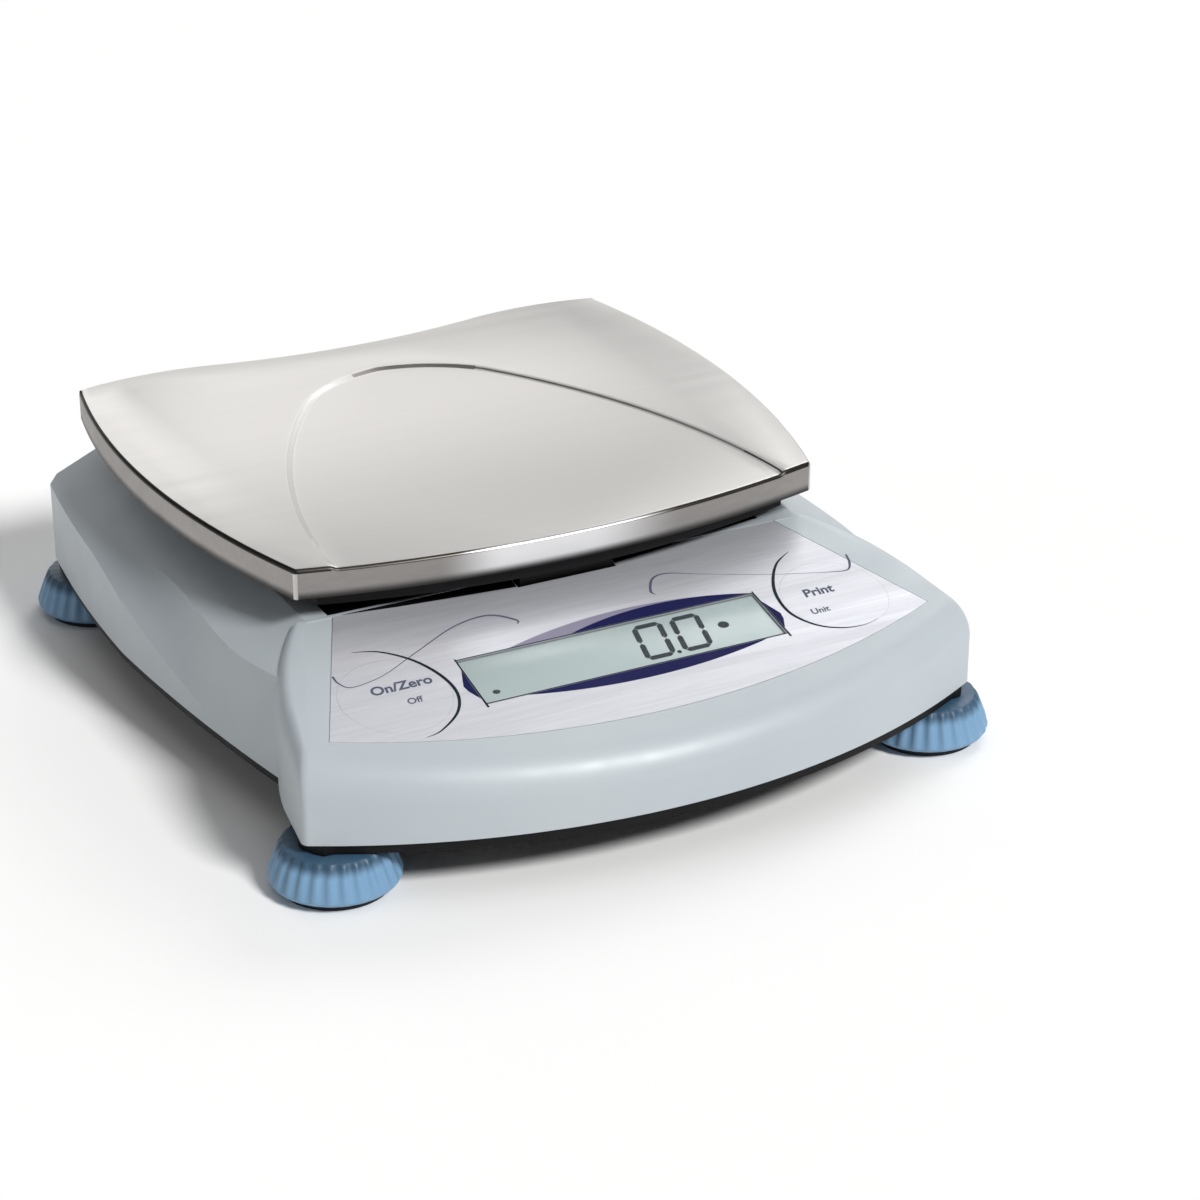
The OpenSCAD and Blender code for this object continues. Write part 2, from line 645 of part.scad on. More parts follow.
module level_vial() color([0.75, 0.85, 0.35, 0.6]) {
    translate([vial_x, vial_y, deck_z - 6]) cylinder(r = vial_r, h = 6.8);
}
module transport_lock() color([0.75, 0.12, 0.10]) {
    translate([lock_x, lock_y, deck_z - wall - 2]) {
        cylinder(r = lock_r, h = wall + 2.6);
        translate([0, 0, -0.2]) cylinder(r = lock_r + 2, h = 1.8);
        translate([-lock_r + 1, -1.2, wall + 2.5]) cube([2 * lock_r - 2, 2.4, 1.2]);
    }
}

// Battery bay pieces
module battery_door() color([0.09, 0.09, 0.10]) {
    translate([battery_x - door_inset + gap, battery_y - door_inset + gap, base_z - 0.2])
        cube([bay_w + 2 * door_inset - 2 * gap, bay_l + 2 * door_inset - 2 * gap, 1.2]);
    for (i = [0:4]) translate([battery_x + 4, battery_y + bay_l - 8 - 3 * i, base_z - 0.8])
        cube([bay_w - 8, 1.2, 0.7]);
}
module batteries() color([0.20, 0.42, 0.30]) {
    for (col = [0, 1]) for (row = [0, 1])
        translate([battery_x + 0.5 + cell_d / 2 + col * (cell_d + 1), battery_y + 3 + row * (cell_len + 1), shell_z + cell_d / 2 + 0.3])
            rotate([-90, 0, 0]) {
                cylinder(r = cell_d / 2, h = cell_len - 1.5);
                cylinder(r = 2.7, h = cell_len - 0.3);
            }
}
module battery_contacts() color(c_steel) {
    for (col = [0, 1]) for (end = [0, 1])
        translate([battery_x + 3.5 + col * (cell_d + 1), battery_y + (end == 0 ? 0.3 : bay_l - 1), shell_z + 2])
            cube([9, 0.7, 10]);
}
module housing_screws() color(c_steel) {
    at_screws() {
        translate([0, 0, base_z + 0.1]) cylinder(r = screw_head_r, h = 1);
        translate([0, 0, base_z + 0.1]) cylinder(r = screw_r - 0.25, h = 12);
    }
}
module foot_inserts() color(c_brass) {
    at_feet() difference() {
        translate([0, 0, base_z + 0.5]) cylinder(r = insert_r, h = stud_top - base_z - 2);
        translate([0, 0, base_z]) cylinder(r = stud_r + stud_play, h = 30);
    }
}

// Levelling foot: fluted cone on a screw, turning on a rubber pad
flare_z = pad_t + 2.4;
module foot_knob() color(c_blue) {
    difference() {
        rotate_extrude($fn = 96) polygon([
            [0, pad_t], [foot_r - 2.6, pad_t], [foot_r - 0.8, pad_t + 0.7], [foot_r, flare_z],
            [foot_top_r + 0.6, foot_h - 0.8], [foot_top_r, foot_h], [0, foot_h]
        ]);
        for (i = [0:flutes - 1]) rotate([0, 0, 360 * i / flutes])
            translate([foot_r + 0.5, 0, pad_t + 1]) rotate([0, -atan((foot_r - foot_top_r) / (foot_h - flare_z)), 0])
                cylinder(r = 1.1, h = foot_h + 4);
        translate([0, 0, pad_t + 4]) cylinder(r = stud_r, h = foot_h);
        translate([0, 0, pad_t - 1]) cylinder(r = 4.1, h = 3);
    }
}
module foot_stud() color(c_steel) {
    translate([0, 0, pad_t + 4]) cylinder(r = stud_r, h = stud_top - pad_t - 4);
}
module foot_pad() color(c_black) {
    cylinder(r = foot_r - 3, h = pad_t - 0.1);
    cylinder(r = 4, h = pad_t + 1.8);
}

weighing_pan();
pan_cushions();
pan_support();
support_screws();
load_cell();
strain_gauges();
cell_spacer();
support_spacer();
cell_screws();
overload_stops();
upper_housing();
base();
control_overlay();
display_window();
lcd_module();
lcd_holder();
display_board();
key_switches();
left_key();
right_key();
main_board();
board_parts();
ribbon_cable();
power_jack();
level_vial();
transport_lock();
battery_door();
batteries();
battery_contacts();
housing_screws();
board_screws();
foot_inserts();
at_foot(0) foot_knob();  // foot_knob_fl
at_foot(1) foot_knob();  // foot_knob_fr
at_foot(2) foot_knob();  // foot_knob_rl
at_foot(3) foot_knob();  // foot_knob_rr
at_foot(0) foot_stud();  // foot_stud_fl
at_foot(1) foot_stud();  // foot_stud_fr
at_foot(2) foot_stud();  // foot_stud_rl
at_foot(3) foot_stud();  // foot_stud_rr
at_foot(0) foot_pad();  // foot_pad_fl
at_foot(1) foot_pad();  // foot_pad_fr
at_foot(2) foot_pad();  // foot_pad_rl
at_foot(3) foot_pad();  // foot_pad_rr
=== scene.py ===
# %% [markdown]
# # A portable precision scale, dressed for its photograph
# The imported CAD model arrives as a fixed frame, in metres, with +Z up and the display facing -Y.
# We never move or edit those nodes. We give each one a material, and where the CAD solid is too
# plain for a close look we model a finer piece in the same place and let it stand in.

# %% Load the frame
import json
from math import atan2, cos, hypot, pi, radians, sin, tan

import bmesh
import bpy
from mathutils import Matrix, Vector


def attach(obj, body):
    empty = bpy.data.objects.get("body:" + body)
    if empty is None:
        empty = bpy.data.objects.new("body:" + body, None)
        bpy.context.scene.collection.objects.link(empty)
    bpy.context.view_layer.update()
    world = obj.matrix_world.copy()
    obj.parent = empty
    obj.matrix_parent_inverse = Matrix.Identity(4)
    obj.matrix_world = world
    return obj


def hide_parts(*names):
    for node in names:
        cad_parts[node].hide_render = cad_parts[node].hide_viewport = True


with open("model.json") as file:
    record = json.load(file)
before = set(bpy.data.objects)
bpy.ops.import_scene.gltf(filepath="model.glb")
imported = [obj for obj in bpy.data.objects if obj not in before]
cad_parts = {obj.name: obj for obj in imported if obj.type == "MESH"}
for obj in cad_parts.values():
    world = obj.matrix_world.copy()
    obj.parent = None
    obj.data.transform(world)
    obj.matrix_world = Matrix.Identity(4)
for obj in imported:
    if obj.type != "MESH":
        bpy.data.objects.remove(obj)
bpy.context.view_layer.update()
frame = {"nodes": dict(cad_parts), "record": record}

scene = bpy.context.scene

# %% [markdown]
# ## The camera
# The picture was taken from the front left, a little above the pan. A long lens keeps the sides
# nearly parallel. The numbers come from fitting a camera to the corners of the pan and the feet.
# The camera looks along its own -Z axis, so we build its turn from the direction it came from.

# %% Camera
AZIMUTH = radians(-27.63)
ELEVATION = radians(25.4)
CAMERA_AT = Vector((-0.34006, -0.70865, 0.39586))
PHOTO_WIDTH = 1200

lens = bpy.data.cameras.new("photo_lens")
lens.lens = 97.75
lens.sensor_width = 36.0
lens.shift_x = -4.2 / PHOTO_WIDTH
lens.shift_y = 0.4 / PHOTO_WIDTH
camera = bpy.data.objects.new("photo_camera", lens)
camera.location = CAMERA_AT
camera.rotation_euler = (pi / 2 - ELEVATION, 0, AZIMUTH)
scene.collection.objects.link(camera)
scene.camera = camera
print("camera at", tuple(round(c, 3) for c in CAMERA_AT))

# %% [markdown]
# ## Floor and light
# The photograph is a studio shot on white paper. Polished steel shows what stands round it. A sun
# alone would leave the pan black, and area lamps would show in it as hard shapes. So we paint
# soft glowing panels on a dark sky: walls, a ceiling and a small glare behind the pan. One far,
# wide sun from the front right draws the soft shadow on the left.


# %% Helpers for light
def linear(red, green, blue):
    """Turns a colour as a screen shows it, 0 to 255, into the linear values a shader wants."""
    out = []
    for value in (red, green, blue):
        share = value / 255
        out.append(share / 12.92 if share <= 0.04045 else ((share + 0.055) / 1.055) ** 2.4)
    return (*out, 1.0)


def remap(tree, value, source, target=(0, 1), kind="LINEAR"):
    """Maps a value from one range onto another."""
    node = tree.nodes.new("ShaderNodeMapRange")
    node.interpolation_type = kind
    for label, number in zip(("From Min", "From Max", "To Min", "To Max"), (*source, *target)):
        node.inputs[label].default_value = number
    tree.links.new(value, node.inputs["Value"])
    return node.outputs["Result"]


# %% Sky and sun
def sky(panels):
    """A dark studio with soft panels: (name, direction, half width in degrees, strength)."""
    world = bpy.data.worlds.new("studio")
    world.use_nodes = True
    tree = world.node_tree
    look = tree.nodes.new("ShaderNodeTexCoord").outputs["Generated"]
    total = None
    for name, direction, half, strength in panels:
        facing = tree.nodes.new("ShaderNodeVectorMath")
        facing.label = name
        facing.operation = "DOT_PRODUCT"
        facing.inputs[1].default_value = Vector(direction).normalized()
        tree.links.new(look, facing.inputs[0])
        rims = (cos(radians(half * 1.5)), cos(radians(half * 0.5)))
        glow = remap(tree, facing.outputs["Value"], rims, (0, strength), "SMOOTHSTEP")
        if total is None:
            total = glow
        else:
            add = tree.nodes.new("ShaderNodeMath")
            tree.links.new(total, add.inputs[0])
            tree.links.new(glow, add.inputs[1])
            total = add.outputs[0]
    tree.links.new(total, tree.nodes["Background"].inputs["Color"])
    return world


scene.world = sky([
    ("left wall", (-1, 0.1, 0.4), 25, 0.6),
    ("right wall", (1, 0.0, 0.4), 25, 0.22),
    ("front wall", (-0.2, -0.9, 0.42), 22, 0.32),
    ("ceiling", (0, 0, 1), 25, 0.62),
    ("back wall", (0.05, 0.9, 0.42), 18, 0.88),
    ("low back wall", (0.42, 0.85, 0.2), 22, 0.6),
    ("glare behind the pan", (0.62, 0.5, 0.62), 12, 4.4),
])
scene.view_settings.view_transform = "Standard"

COME_FROM = Vector((0.38, -1.0, 1.0))
sun = bpy.data.lights.new("key", "SUN")
sun.angle = radians(15)
sun.energy = 2.95
sun.color = (1.0, 0.995, 0.985)
lamp = bpy.data.objects.new("key", sun)
lamp.location = COME_FROM
lamp.rotation_euler = COME_FROM.to_track_quat("Z", "Y").to_euler()
scene.collection.objects.link(lamp)

# %% [markdown]
# The floor is one large sheet of pale paper. Seen from below it turns clear, through Backfacing,
# so the underside of the scale can be looked at too.

# %% Floor
FLOOR_REACH = 4
bm = bmesh.new()
bmesh.ops.create_grid(bm, x_segments=1, y_segments=1, size=FLOOR_REACH)
floor_mesh = bpy.data.meshes.new("floor")
bm.to_mesh(floor_mesh)
bm.free()
floor = bpy.data.objects.new("floor", floor_mesh)
scene.collection.objects.link(floor)
paper = bpy.data.materials.new("white_paper")
paper.use_nodes = True
tree = paper.node_tree
card = tree.nodes["Principled BSDF"]
card.inputs["Base Color"].default_value = (0.94, 0.94, 0.94, 1)
card.inputs["Roughness"].default_value = 0.9
clear_below = tree.nodes.new("ShaderNodeMixShader")
tree.links.new(tree.nodes.new("ShaderNodeNewGeometry").outputs["Backfacing"], clear_below.inputs[0])
tree.links.new(card.outputs["BSDF"], clear_below.inputs[1])
tree.links.new(tree.nodes.new("ShaderNodeBsdfTransparent").outputs["BSDF"], clear_below.inputs[2])
tree.links.new(clear_below.outputs["Shader"], tree.nodes["Material Output"].inputs["Surface"])
floor_mesh.materials.append(paper)
print("floor", 2 * FLOOR_REACH, "m wide")

# %% [markdown]
# ## Finishes
# Two effects appear in many finishes, so each is a node group of its own. The first is the fine
# leathery grain that a mould leaves on plastic. The second is the scratch of brushed metal:
# noise that is squeezed across the grain and stretched along it. Pictures could carry both, but
# noise on Object coordinates needs no unwrapping and stays sharp at any distance.


# %% Node groups
def new_group(name, inputs, outputs):
    """Makes a shader node group with named number sockets and returns it with its two ends."""
    group = bpy.data.node_groups.new(name, "ShaderNodeTree")
    for label, value in inputs.items():
        socket = group.interface.new_socket(label, in_out="INPUT", socket_type="NodeSocketFloat")
        socket.default_value = value
    for label in outputs:
        group.interface.new_socket(label, in_out="OUTPUT", socket_type="NodeSocketFloat")
    return group, group.nodes.new("NodeGroupInput"), group.nodes.new("NodeGroupOutput")


def noise(tree, vector, scale, detail=3.0, roughness=0.55):
    """Adds a noise texture to a node tree."""
    node = tree.nodes.new("ShaderNodeTexNoise")
    node.inputs["Detail"].default_value = detail
    node.inputs["Roughness"].default_value = roughness
    if isinstance(scale, (int, float)):
        node.inputs["Scale"].default_value = scale
    else:
        tree.links.new(scale, node.inputs["Scale"])
    tree.links.new(vector, node.inputs["Vector"])
    return node.outputs["Fac"]


MIDDLE = (0.3, 0.7)

# %% Grain of moulded plastic
moulded, ends_in, ends_out = new_group(
    "moulded_grain", {"Grain Scale": 1800.0, "Mottle Scale": 18.0}, ["Mottle", "Sheen", "Grain"])
place = moulded.nodes.new("ShaderNodeTexCoord").outputs["Object"]
mottle = noise(moulded, place, ends_in.outputs["Mottle Scale"])
moulded.links.new(remap(moulded, mottle, MIDDLE), ends_out.inputs["Mottle"])
moulded.links.new(remap(moulded, noise(moulded, place, 95.0), MIDDLE), ends_out.inputs["Sheen"])
moulded.links.new(noise(moulded, place, ends_in.outputs["Grain Scale"], 1.5), ends_out.inputs["Grain"])

# %% Lines of brushed metal
brushed, ends_in, ends_out = new_group(
    "brushed_lines", {"Along": 6.0, "Across": 900.0}, ["Lines", "Streaks"])
place = brushed.nodes.new("ShaderNodeTexCoord").outputs["Object"]
squeeze = brushed.nodes.new("ShaderNodeCombineXYZ")
brushed.links.new(ends_in.outputs["Along"], squeeze.inputs["X"])
brushed.links.new(ends_in.outputs["Across"], squeeze.inputs["Y"])
brushed.links.new(ends_in.outputs["Across"], squeeze.inputs["Z"])
product = brushed.nodes.new("ShaderNodeVectorMath")
product.operation = "MULTIPLY"
brushed.links.new(place, product.inputs[0])
brushed.links.new(squeeze.outputs["Vector"], product.inputs[1])
brushed.links.new(noise(brushed, product.outputs["Vector"], 1.0, 4.0, 0.7), ends_out.inputs["Lines"])
streaks = noise(brushed, product.outputs["Vector"], 0.22, 2.0)
brushed.links.new(remap(brushed, streaks, MIDDLE), ends_out.inputs["Streaks"])
print("groups:", [g.name for g in bpy.data.node_groups])


# %% Material builders
def new_material(name, effect):
    """A new node material with one effect group: itself, its tree, its main shader and the group."""
    material = bpy.data.materials.new(name)
    material.use_nodes = True
    tree = material.node_tree
    group = tree.nodes.new("ShaderNodeGroup")
    group.node_tree = effect
    return material, tree, tree.nodes["Principled BSDF"], group


def blend_colour(tree, mask, first, second):
    """Mixes two plain colours by a mask and returns the colour socket."""
    mix = tree.nodes.new("ShaderNodeMix")
    mix.data_type = "RGBA"
    mix.inputs["A"].default_value = first
    mix.inputs["B"].default_value = second
    tree.links.new(mask, mix.inputs["Factor"])
    return mix.outputs["Result"]


def raise_surface(tree, shader, height, strength, distance):
    """Feeds a height into the shader's normal through a Bump node."""
    bump = tree.nodes.new("ShaderNodeBump")
    bump.inputs["Strength"].default_value = strength
    bump.inputs["Distance"].default_value = distance
    tree.links.new(height, bump.inputs["Height"])
    tree.links.new(bump.outputs["Normal"], shader.inputs["Normal"])


# %% Plastic and metal
GRAIN_DEPTH, LINE_DEPTH = 0.00006, 0.00004


def plastic(name, light, dark, rough, grain=1800.0, bump=0.12, gloss=0.5):
    """Moulded plastic: a faint mottle between two screen colours, uneven gloss and a fine grain."""
    material, tree, shader, group = new_material(name, moulded)
    group.inputs["Grain Scale"].default_value = grain
    colour = blend_colour(tree, group.outputs["Mottle"], linear(*light), linear(*dark))
    tree.links.new(colour, shader.inputs["Base Color"])
    tree.links.new(remap(tree, group.outputs["Sheen"], (0, 1), rough), shader.inputs["Roughness"])
    raise_surface(tree, shader, group.outputs["Grain"], bump, GRAIN_DEPTH)
    shader.inputs["Specular IOR Level"].default_value = gloss
    return material


def metal(name, light, dark, rough, along, across, bump=0.1, metallic=1.0):
    """Brushed or machined metal: lines along X between two linear colours, streaks in the gloss."""
    material, tree, shader, group = new_material(name, brushed)
    group.inputs["Along"].default_value = along
    group.inputs["Across"].default_value = across
    colour = blend_colour(tree, group.outputs["Lines"], (*light, 1), (*dark, 1))
    tree.links.new(colour, shader.inputs["Base Color"])
    tree.links.new(remap(tree, group.outputs["Streaks"], (0, 1), rough), shader.inputs["Roughness"])
    raise_surface(tree, shader, group.outputs["Lines"], bump, LINE_DEPTH)
    shader.inputs["Metallic"].default_value = metallic
    return material


# %% Painted light and shade that fade in along an axis
def paint_light_fade(material, axis, stops, colour):
    """Adds painted light or shade: a colour that is nothing at the outer two of four places along an axis,
    full at the inner two.
    """
    tree = material.node_tree
    shader = tree.nodes["Principled BSDF"]
    split = tree.nodes.new("ShaderNodeSeparateXYZ")
    tree.links.new(tree.nodes.new("ShaderNodeTexCoord").outputs["Object"], split.inputs[0])
    both = tree.nodes.new("ShaderNodeMath")
    both.operation = "MULTIPLY"
    for socket, ramp in zip(both.inputs, (stops[:2], stops[:1:-1])):
        tree.links.new(remap(tree, split.outputs[axis], ramp, kind="SMOOTHSTEP"), socket)
    mix = tree.nodes.new("ShaderNodeMix")
    mix.data_type = "RGBA"
    tree.links.new(shader.inputs["Base Color"].links[0].from_socket, mix.inputs["A"])
    mix.inputs["B"].default_value = (*colour, 1)
    tree.links.new(both.outputs[0], mix.inputs["Factor"])
    tree.links.new(mix.outputs["Result"], shader.inputs["Base Color"])


# %% [markdown]
# Plastics are given in screen colours, metals in the linear values that a renderer reflects. On
# the real pan the skirt, its folded edge and the pressed step show dark and light bands of the
# studio, which a small pale set can't mirror. Those faces get painted reflections: darker steels of
# their own, with painted highlights on parts of the skirt and fold. Painted reflection also fades in
# along the pan, and the knobs get painted shade towards the top, where the housing shades them.
# These painted tones belong to the piece, so they stay when the camera moves.

# %% Plastics
PLASTICS = {
    "housing_plastic": ((180, 188, 193), (175, 183, 189), (0.36, 0.46)),
    "black_plastic": ((14, 14, 16), (10, 10, 12), (0.5, 0.6), 1800.0, 0.12, 0.2),
    "rubber": ((30, 30, 31), (22, 22, 23), (0.7, 0.85), 900.0, 0.3),
    "foot_plastic": ((118, 156, 188), (110, 148, 181), (0.4, 0.52)),
    "red_plastic": ((196, 40, 34), (180, 32, 28), (0.3, 0.4)),
    "chip": ((38, 38, 41), (30, 30, 32), (0.5, 0.65), 2600.0),
    "cable": ((182, 182, 186), (168, 168, 172), (0.45, 0.6)),
    "board": ((32, 110, 66), (24, 92, 54), (0.3, 0.5), 500.0, 0.2),
    "vial": ((196, 214, 88), (180, 200, 74), (0.12, 0.2), 400.0, 0.02),
    "battery_sleeve": ((60, 112, 84), (52, 100, 76), (0.25, 0.35)),
    "gauge_film": ((196, 142, 62), (178, 124, 52), (0.3, 0.4)),
    "lcd": ((172, 186, 187), (167, 181, 182), (0.3, 0.36), 1200.0, 0.03),
}
FINISH = {name: plastic(name, *look) for name, look in PLASTICS.items()}
print(len(FINISH), "plastics")

# %% Metals
METALS = {
    "pan_steel": ((0.82, 0.8, 0.775), (0.78, 0.76, 0.735), (0.36, 0.42), 9.0, 1500.0, 0.04),
    # The next four are painted reflections: darker copies of the pan's steel for the bands it mirrors.
    "skirt_painted_reflection": ((0.385, 0.365, 0.35), (0.3, 0.285, 0.275), (0.4, 0.48), 4.0, 700.0, 0.05),
    "fold_painted_reflection": ((0.06, 0.055, 0.051), (0.04, 0.037, 0.034), (0.3, 0.4), 4.0, 700.0, 0.05),
    "arch_painted_dark_reflection": ((0.27, 0.258, 0.245), (0.23, 0.22, 0.21), (0.34, 0.42), 9.0, 1500.0, 0.04),
    "step_painted_reflection": ((0.5, 0.492, 0.48), (0.47, 0.462, 0.45), (0.36, 0.42), 9.0, 1500.0, 0.04),
    "screw_steel": ((0.62, 0.62, 0.63), (0.5, 0.5, 0.51), (0.28, 0.4), 300.0, 700.0),
    "cell_alloy": ((0.7, 0.71, 0.72), (0.6, 0.61, 0.62), (0.35, 0.48), 12.0, 600.0),
    "brass": ((0.62, 0.45, 0.2), (0.5, 0.36, 0.15), (0.28, 0.4), 200.0, 500.0),
    "panel_film": ((0.68, 0.69, 0.73), (0.47, 0.48, 0.525), (0.38, 0.5), 40.0, 900.0, 0.14, 0.48),
}
FINISH.update({name: metal(name, *look) for name, look in METALS.items()})
FINISH["key_film"] = FINISH["panel_film"]
print(len(FINISH), "finishes")

# %% Painted reflections along the pan and painted shade on the feet
BEFORE, BEYOND = (-1.0, -0.9), (0.9, 1.0)
PAINTED_LIGHT = (
    # Painted reflection: the pan's steel darkens towards the front and towards the right.
    ("pan_steel", "Y", (*BEFORE, -0.036, 0.06), (0.57, 0.555, 0.54)),
    ("pan_steel", "X", (0.03, 0.1, *BEYOND), (0.62, 0.605, 0.59)),
    # Painted reflection on the skirt: a bright band across the middle, darker towards the rear; painted
    # shade along its lower edge.
    ("skirt_painted_reflection", "X", (-0.038, -0.02, 0.002, 0.032), (0.95, 0.94, 0.95)),
    ("skirt_painted_reflection", "Y", (0.0, 0.085, *BEYOND), (0.29, 0.275, 0.262)),
    ("skirt_painted_reflection", "Z", (*BEFORE, 0.0543, 0.0566), (0.06, 0.056, 0.054)),
    # Painted highlight along the middle of the fold.
    ("fold_painted_reflection", "X", (-0.034, -0.018, 0.012, 0.03), (0.6, 0.6, 0.61)),
    # Painted shade on the knobs towards their top, under the housing.
    ("foot_plastic", "Z", (0.0085, 0.0112, *BEYOND), linear(52, 82, 106)[:3]),
)
for name, axis, stops, colour in PAINTED_LIGHT:
    paint_light_fade(FINISH[name], axis, stops, colour)
print(len(PAINTED_LIGHT), "tones")

# %% [markdown]
# The window is clear. A path tracer loses light inside thick glass, so this one is a thin sheet
# that lets nearly all light straight through by its alpha and keeps a little gloss on top. The
# printing inks are matt plastics of one colour each.

# %% Clear window and printing inks
clear, tree, shader, group = new_material("window", moulded)
tree.links.new(remap(tree, group.outputs["Sheen"], (0, 1), (0.08, 0.14)), shader.inputs["Roughness"])
tint = blend_colour(tree, group.outputs["Mottle"], linear(214, 226, 222), linear(206, 220, 216))
tree.links.new(tint, shader.inputs["Base Color"])
shader.inputs["Alpha"].default_value = 0.03
FINISH["window"] = clear

INKS = {
    "navy": ((20, 22, 78), (16, 18, 70), 0.15),
    "grey": ((90, 94, 114), (80, 84, 104), 0.2),
    "dark": ((26, 36, 48), (20, 30, 42), 0.15),
    "lilac": ((142, 138, 158), (134, 130, 150), 0.2),
    # This black ink is painted shadow, for the pan's deep shadow on the film and the deck.
    "black": ((10, 10, 14), (7, 7, 10), 0.1),
}
INK = {name: plastic(name + "_ink", light, dark, (0.6, 0.7), 2400.0, 0.05, gloss)
       for name, (light, dark, gloss) in INKS.items()}
print("inks:", list(INK))

# %% [markdown]
# The record of the CAD model says which material slot each node has. Nodes that a finer piece
# replaces get a finish too, because nothing may depend on what happens to be hidden.

# %% Give every CAD node its finish
slot_of = {part["node"]: part["material_slot"] for part in frame["record"]["subparts"]}
for node_name, node_object in frame["nodes"].items():
    for material_slot in node_object.material_slots:
        material_slot.material = FINISH[slot_of[node_name]]
print(len(slot_of), "nodes have a finish")

# %% [markdown]
# ## Tools for making pieces
# All drawings are in millimetres. `start_row` puts down a row of vertices, `next_row` extrudes
# that row and moves it to new places, and `keep` turns the bmesh into a piece that rides on a
# body. Edges sharper than 30 degrees stay crisp and all others are shaded smooth.

# %% Rows, caps and finished pieces
MM = 0.001
SHARP_ANGLE = radians(30)


def start_row(bm, places):
    """The first row of vertices of a loft."""
    return [bm.verts.new(Vector(place) * MM) for place in places]


def next_row(bm, row, places, closed=True):
    """Extrudes a row of vertices into a new one and moves it to its places."""
    pairs = [(row[i - 1], row[i]) for i in range(0 if closed else 1, len(row))]
    edges = [bm.edges.get(pair) or bm.edges.new(pair) for pair in pairs]
    made = bmesh.ops.extrude_edge_only(bm, edges=edges)["geom"]
    fresh = {tuple(v.co): v for v in made if isinstance(v, bmesh.types.BMVert)}
    new = [fresh[tuple(v.co)] for v in row]
    for vert, place in zip(new, places):
        vert.co = Vector(place) * MM
    return new


def close_row(bm, row):
    """Fills the loop of a row with one face."""
    edges = [bm.edges.get((row[i - 1], row[i])) for i in range(len(row))]
    bmesh.ops.contextual_create(bm, geom=edges)


def loft(bm, rows):
    """A closed solid through rows of places, with a face at each end."""
    first = row = start_row(bm, rows[0])
    for places in rows[1:]:
        row = next_row(bm, row, places)
    close_row(bm, first)
    close_row(bm, row)


def box_mesh(size, middle):
    """A box of a given size about its middle."""
    bm = bmesh.new()
    bmesh.ops.create_cube(bm, size=1)
    bmesh.ops.scale(bm, vec=Vector(size) * MM, verts=bm.verts[:])
    bmesh.ops.translate(bm, vec=Vector(middle) * MM, verts=bm.verts[:])
    return bm


def to_object(name, bm):
    """A plain object from a bmesh, with its faces turned outwards."""
    bmesh.ops.recalc_face_normals(bm, faces=bm.faces[:])
    mesh = bpy.data.meshes.new(name)
    bm.to_mesh(mesh)
    bm.free()
    made = bpy.data.objects.new(name, mesh)
    scene.collection.objects.link(made)
    return made


def shade(made):
    """Smooth shading that keeps the sharp edges sharp."""
    bm = bmesh.new()
    bm.from_mesh(made.data)
    for face in bm.faces:
        face.smooth = True
    for edge in bm.edges:
        edge.smooth = len(edge.link_faces) == 2 and edge.calc_face_angle(0) < SHARP_ANGLE
    bm.to_mesh(made.data)
    bm.free()


def keep(made, material, body, replaced=()):
    """Finishes a piece: shading, material, the body it rides on, and hides the CAD nodes it replaces."""
    shade(made)
    made.data.materials.clear()
    made.data.materials.append(material)
    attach(made, body)
    if replaced:
        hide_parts(*replaced)
    print(made.name, len(made.data.polygons), "faces")


def cut(made, tool, operation="DIFFERENCE"):
    """Applies a boolean with a tool object and throws the tool away."""
    modifier = made.modifiers.new("cut", "BOOLEAN")
    modifier.operation = operation
    modifier.object = tool
    modifier.solver = "EXACT"
    graph = bpy.context.evaluated_depsgraph_get()
    result = bpy.data.meshes.new_from_object(made.evaluated_get(graph))
    made.modifiers.clear()
    old = made.data
    made.data = result
    bpy.data.meshes.remove(old)
    bpy.data.objects.remove(tool)
    return made


def arc(start, through, end, steps):
    """Points of the circular arc from start, through a middle point, to the end."""
    (ax, ay), (bx, by), (cx, cy) = start, through, end
    d = 2 * (ax * (by - cy) + bx * (cy - ay) + cx * (ay - by))
    sa, sb, sc = ax * ax + ay * ay, bx * bx + by * by, cx * cx + cy * cy
    ox = (sa * (by - cy) + sb * (cy - ay) + sc * (ay - by)) / d
    oy = (sa * (cx - bx) + sb * (ax - cx) + sc * (bx - ax)) / d
    radius = hypot(ax - ox, ay - oy)
    first = atan2(ay - oy, ax - ox)
    sweep = (atan2(cy - oy, cx - ox) - first) % (2 * pi)
    if (atan2(by - oy, bx - ox) - first) % (2 * pi) > sweep:
        sweep -= 2 * pi
    turns = [first + sweep * i / steps for i in range(steps + 1)]
    return [(ox + radius * cos(turn), oy + radius * sin(turn)) for turn in turns]


def value_at(line, place):
    """Reads a line of (place, value) points between two of its points."""
    return next(a[1] + (b[1] - a[1]) * (place - a[0]) / (b[0] - a[0])
                for a, b in zip(line, line[1:]) if place <= b[0])


# %% [markdown]
# ## The housing
# The real housing is one moulding with two characters. The console in front has a bowed outline
# and a soft roll between the panel and the wall. Behind it the body bulges out, and each side is
# scooped away under the pan. The CAD solid has the same form in coarser steps. Here the console
# is a loft of rings round the same outline, with many steps in the roll.

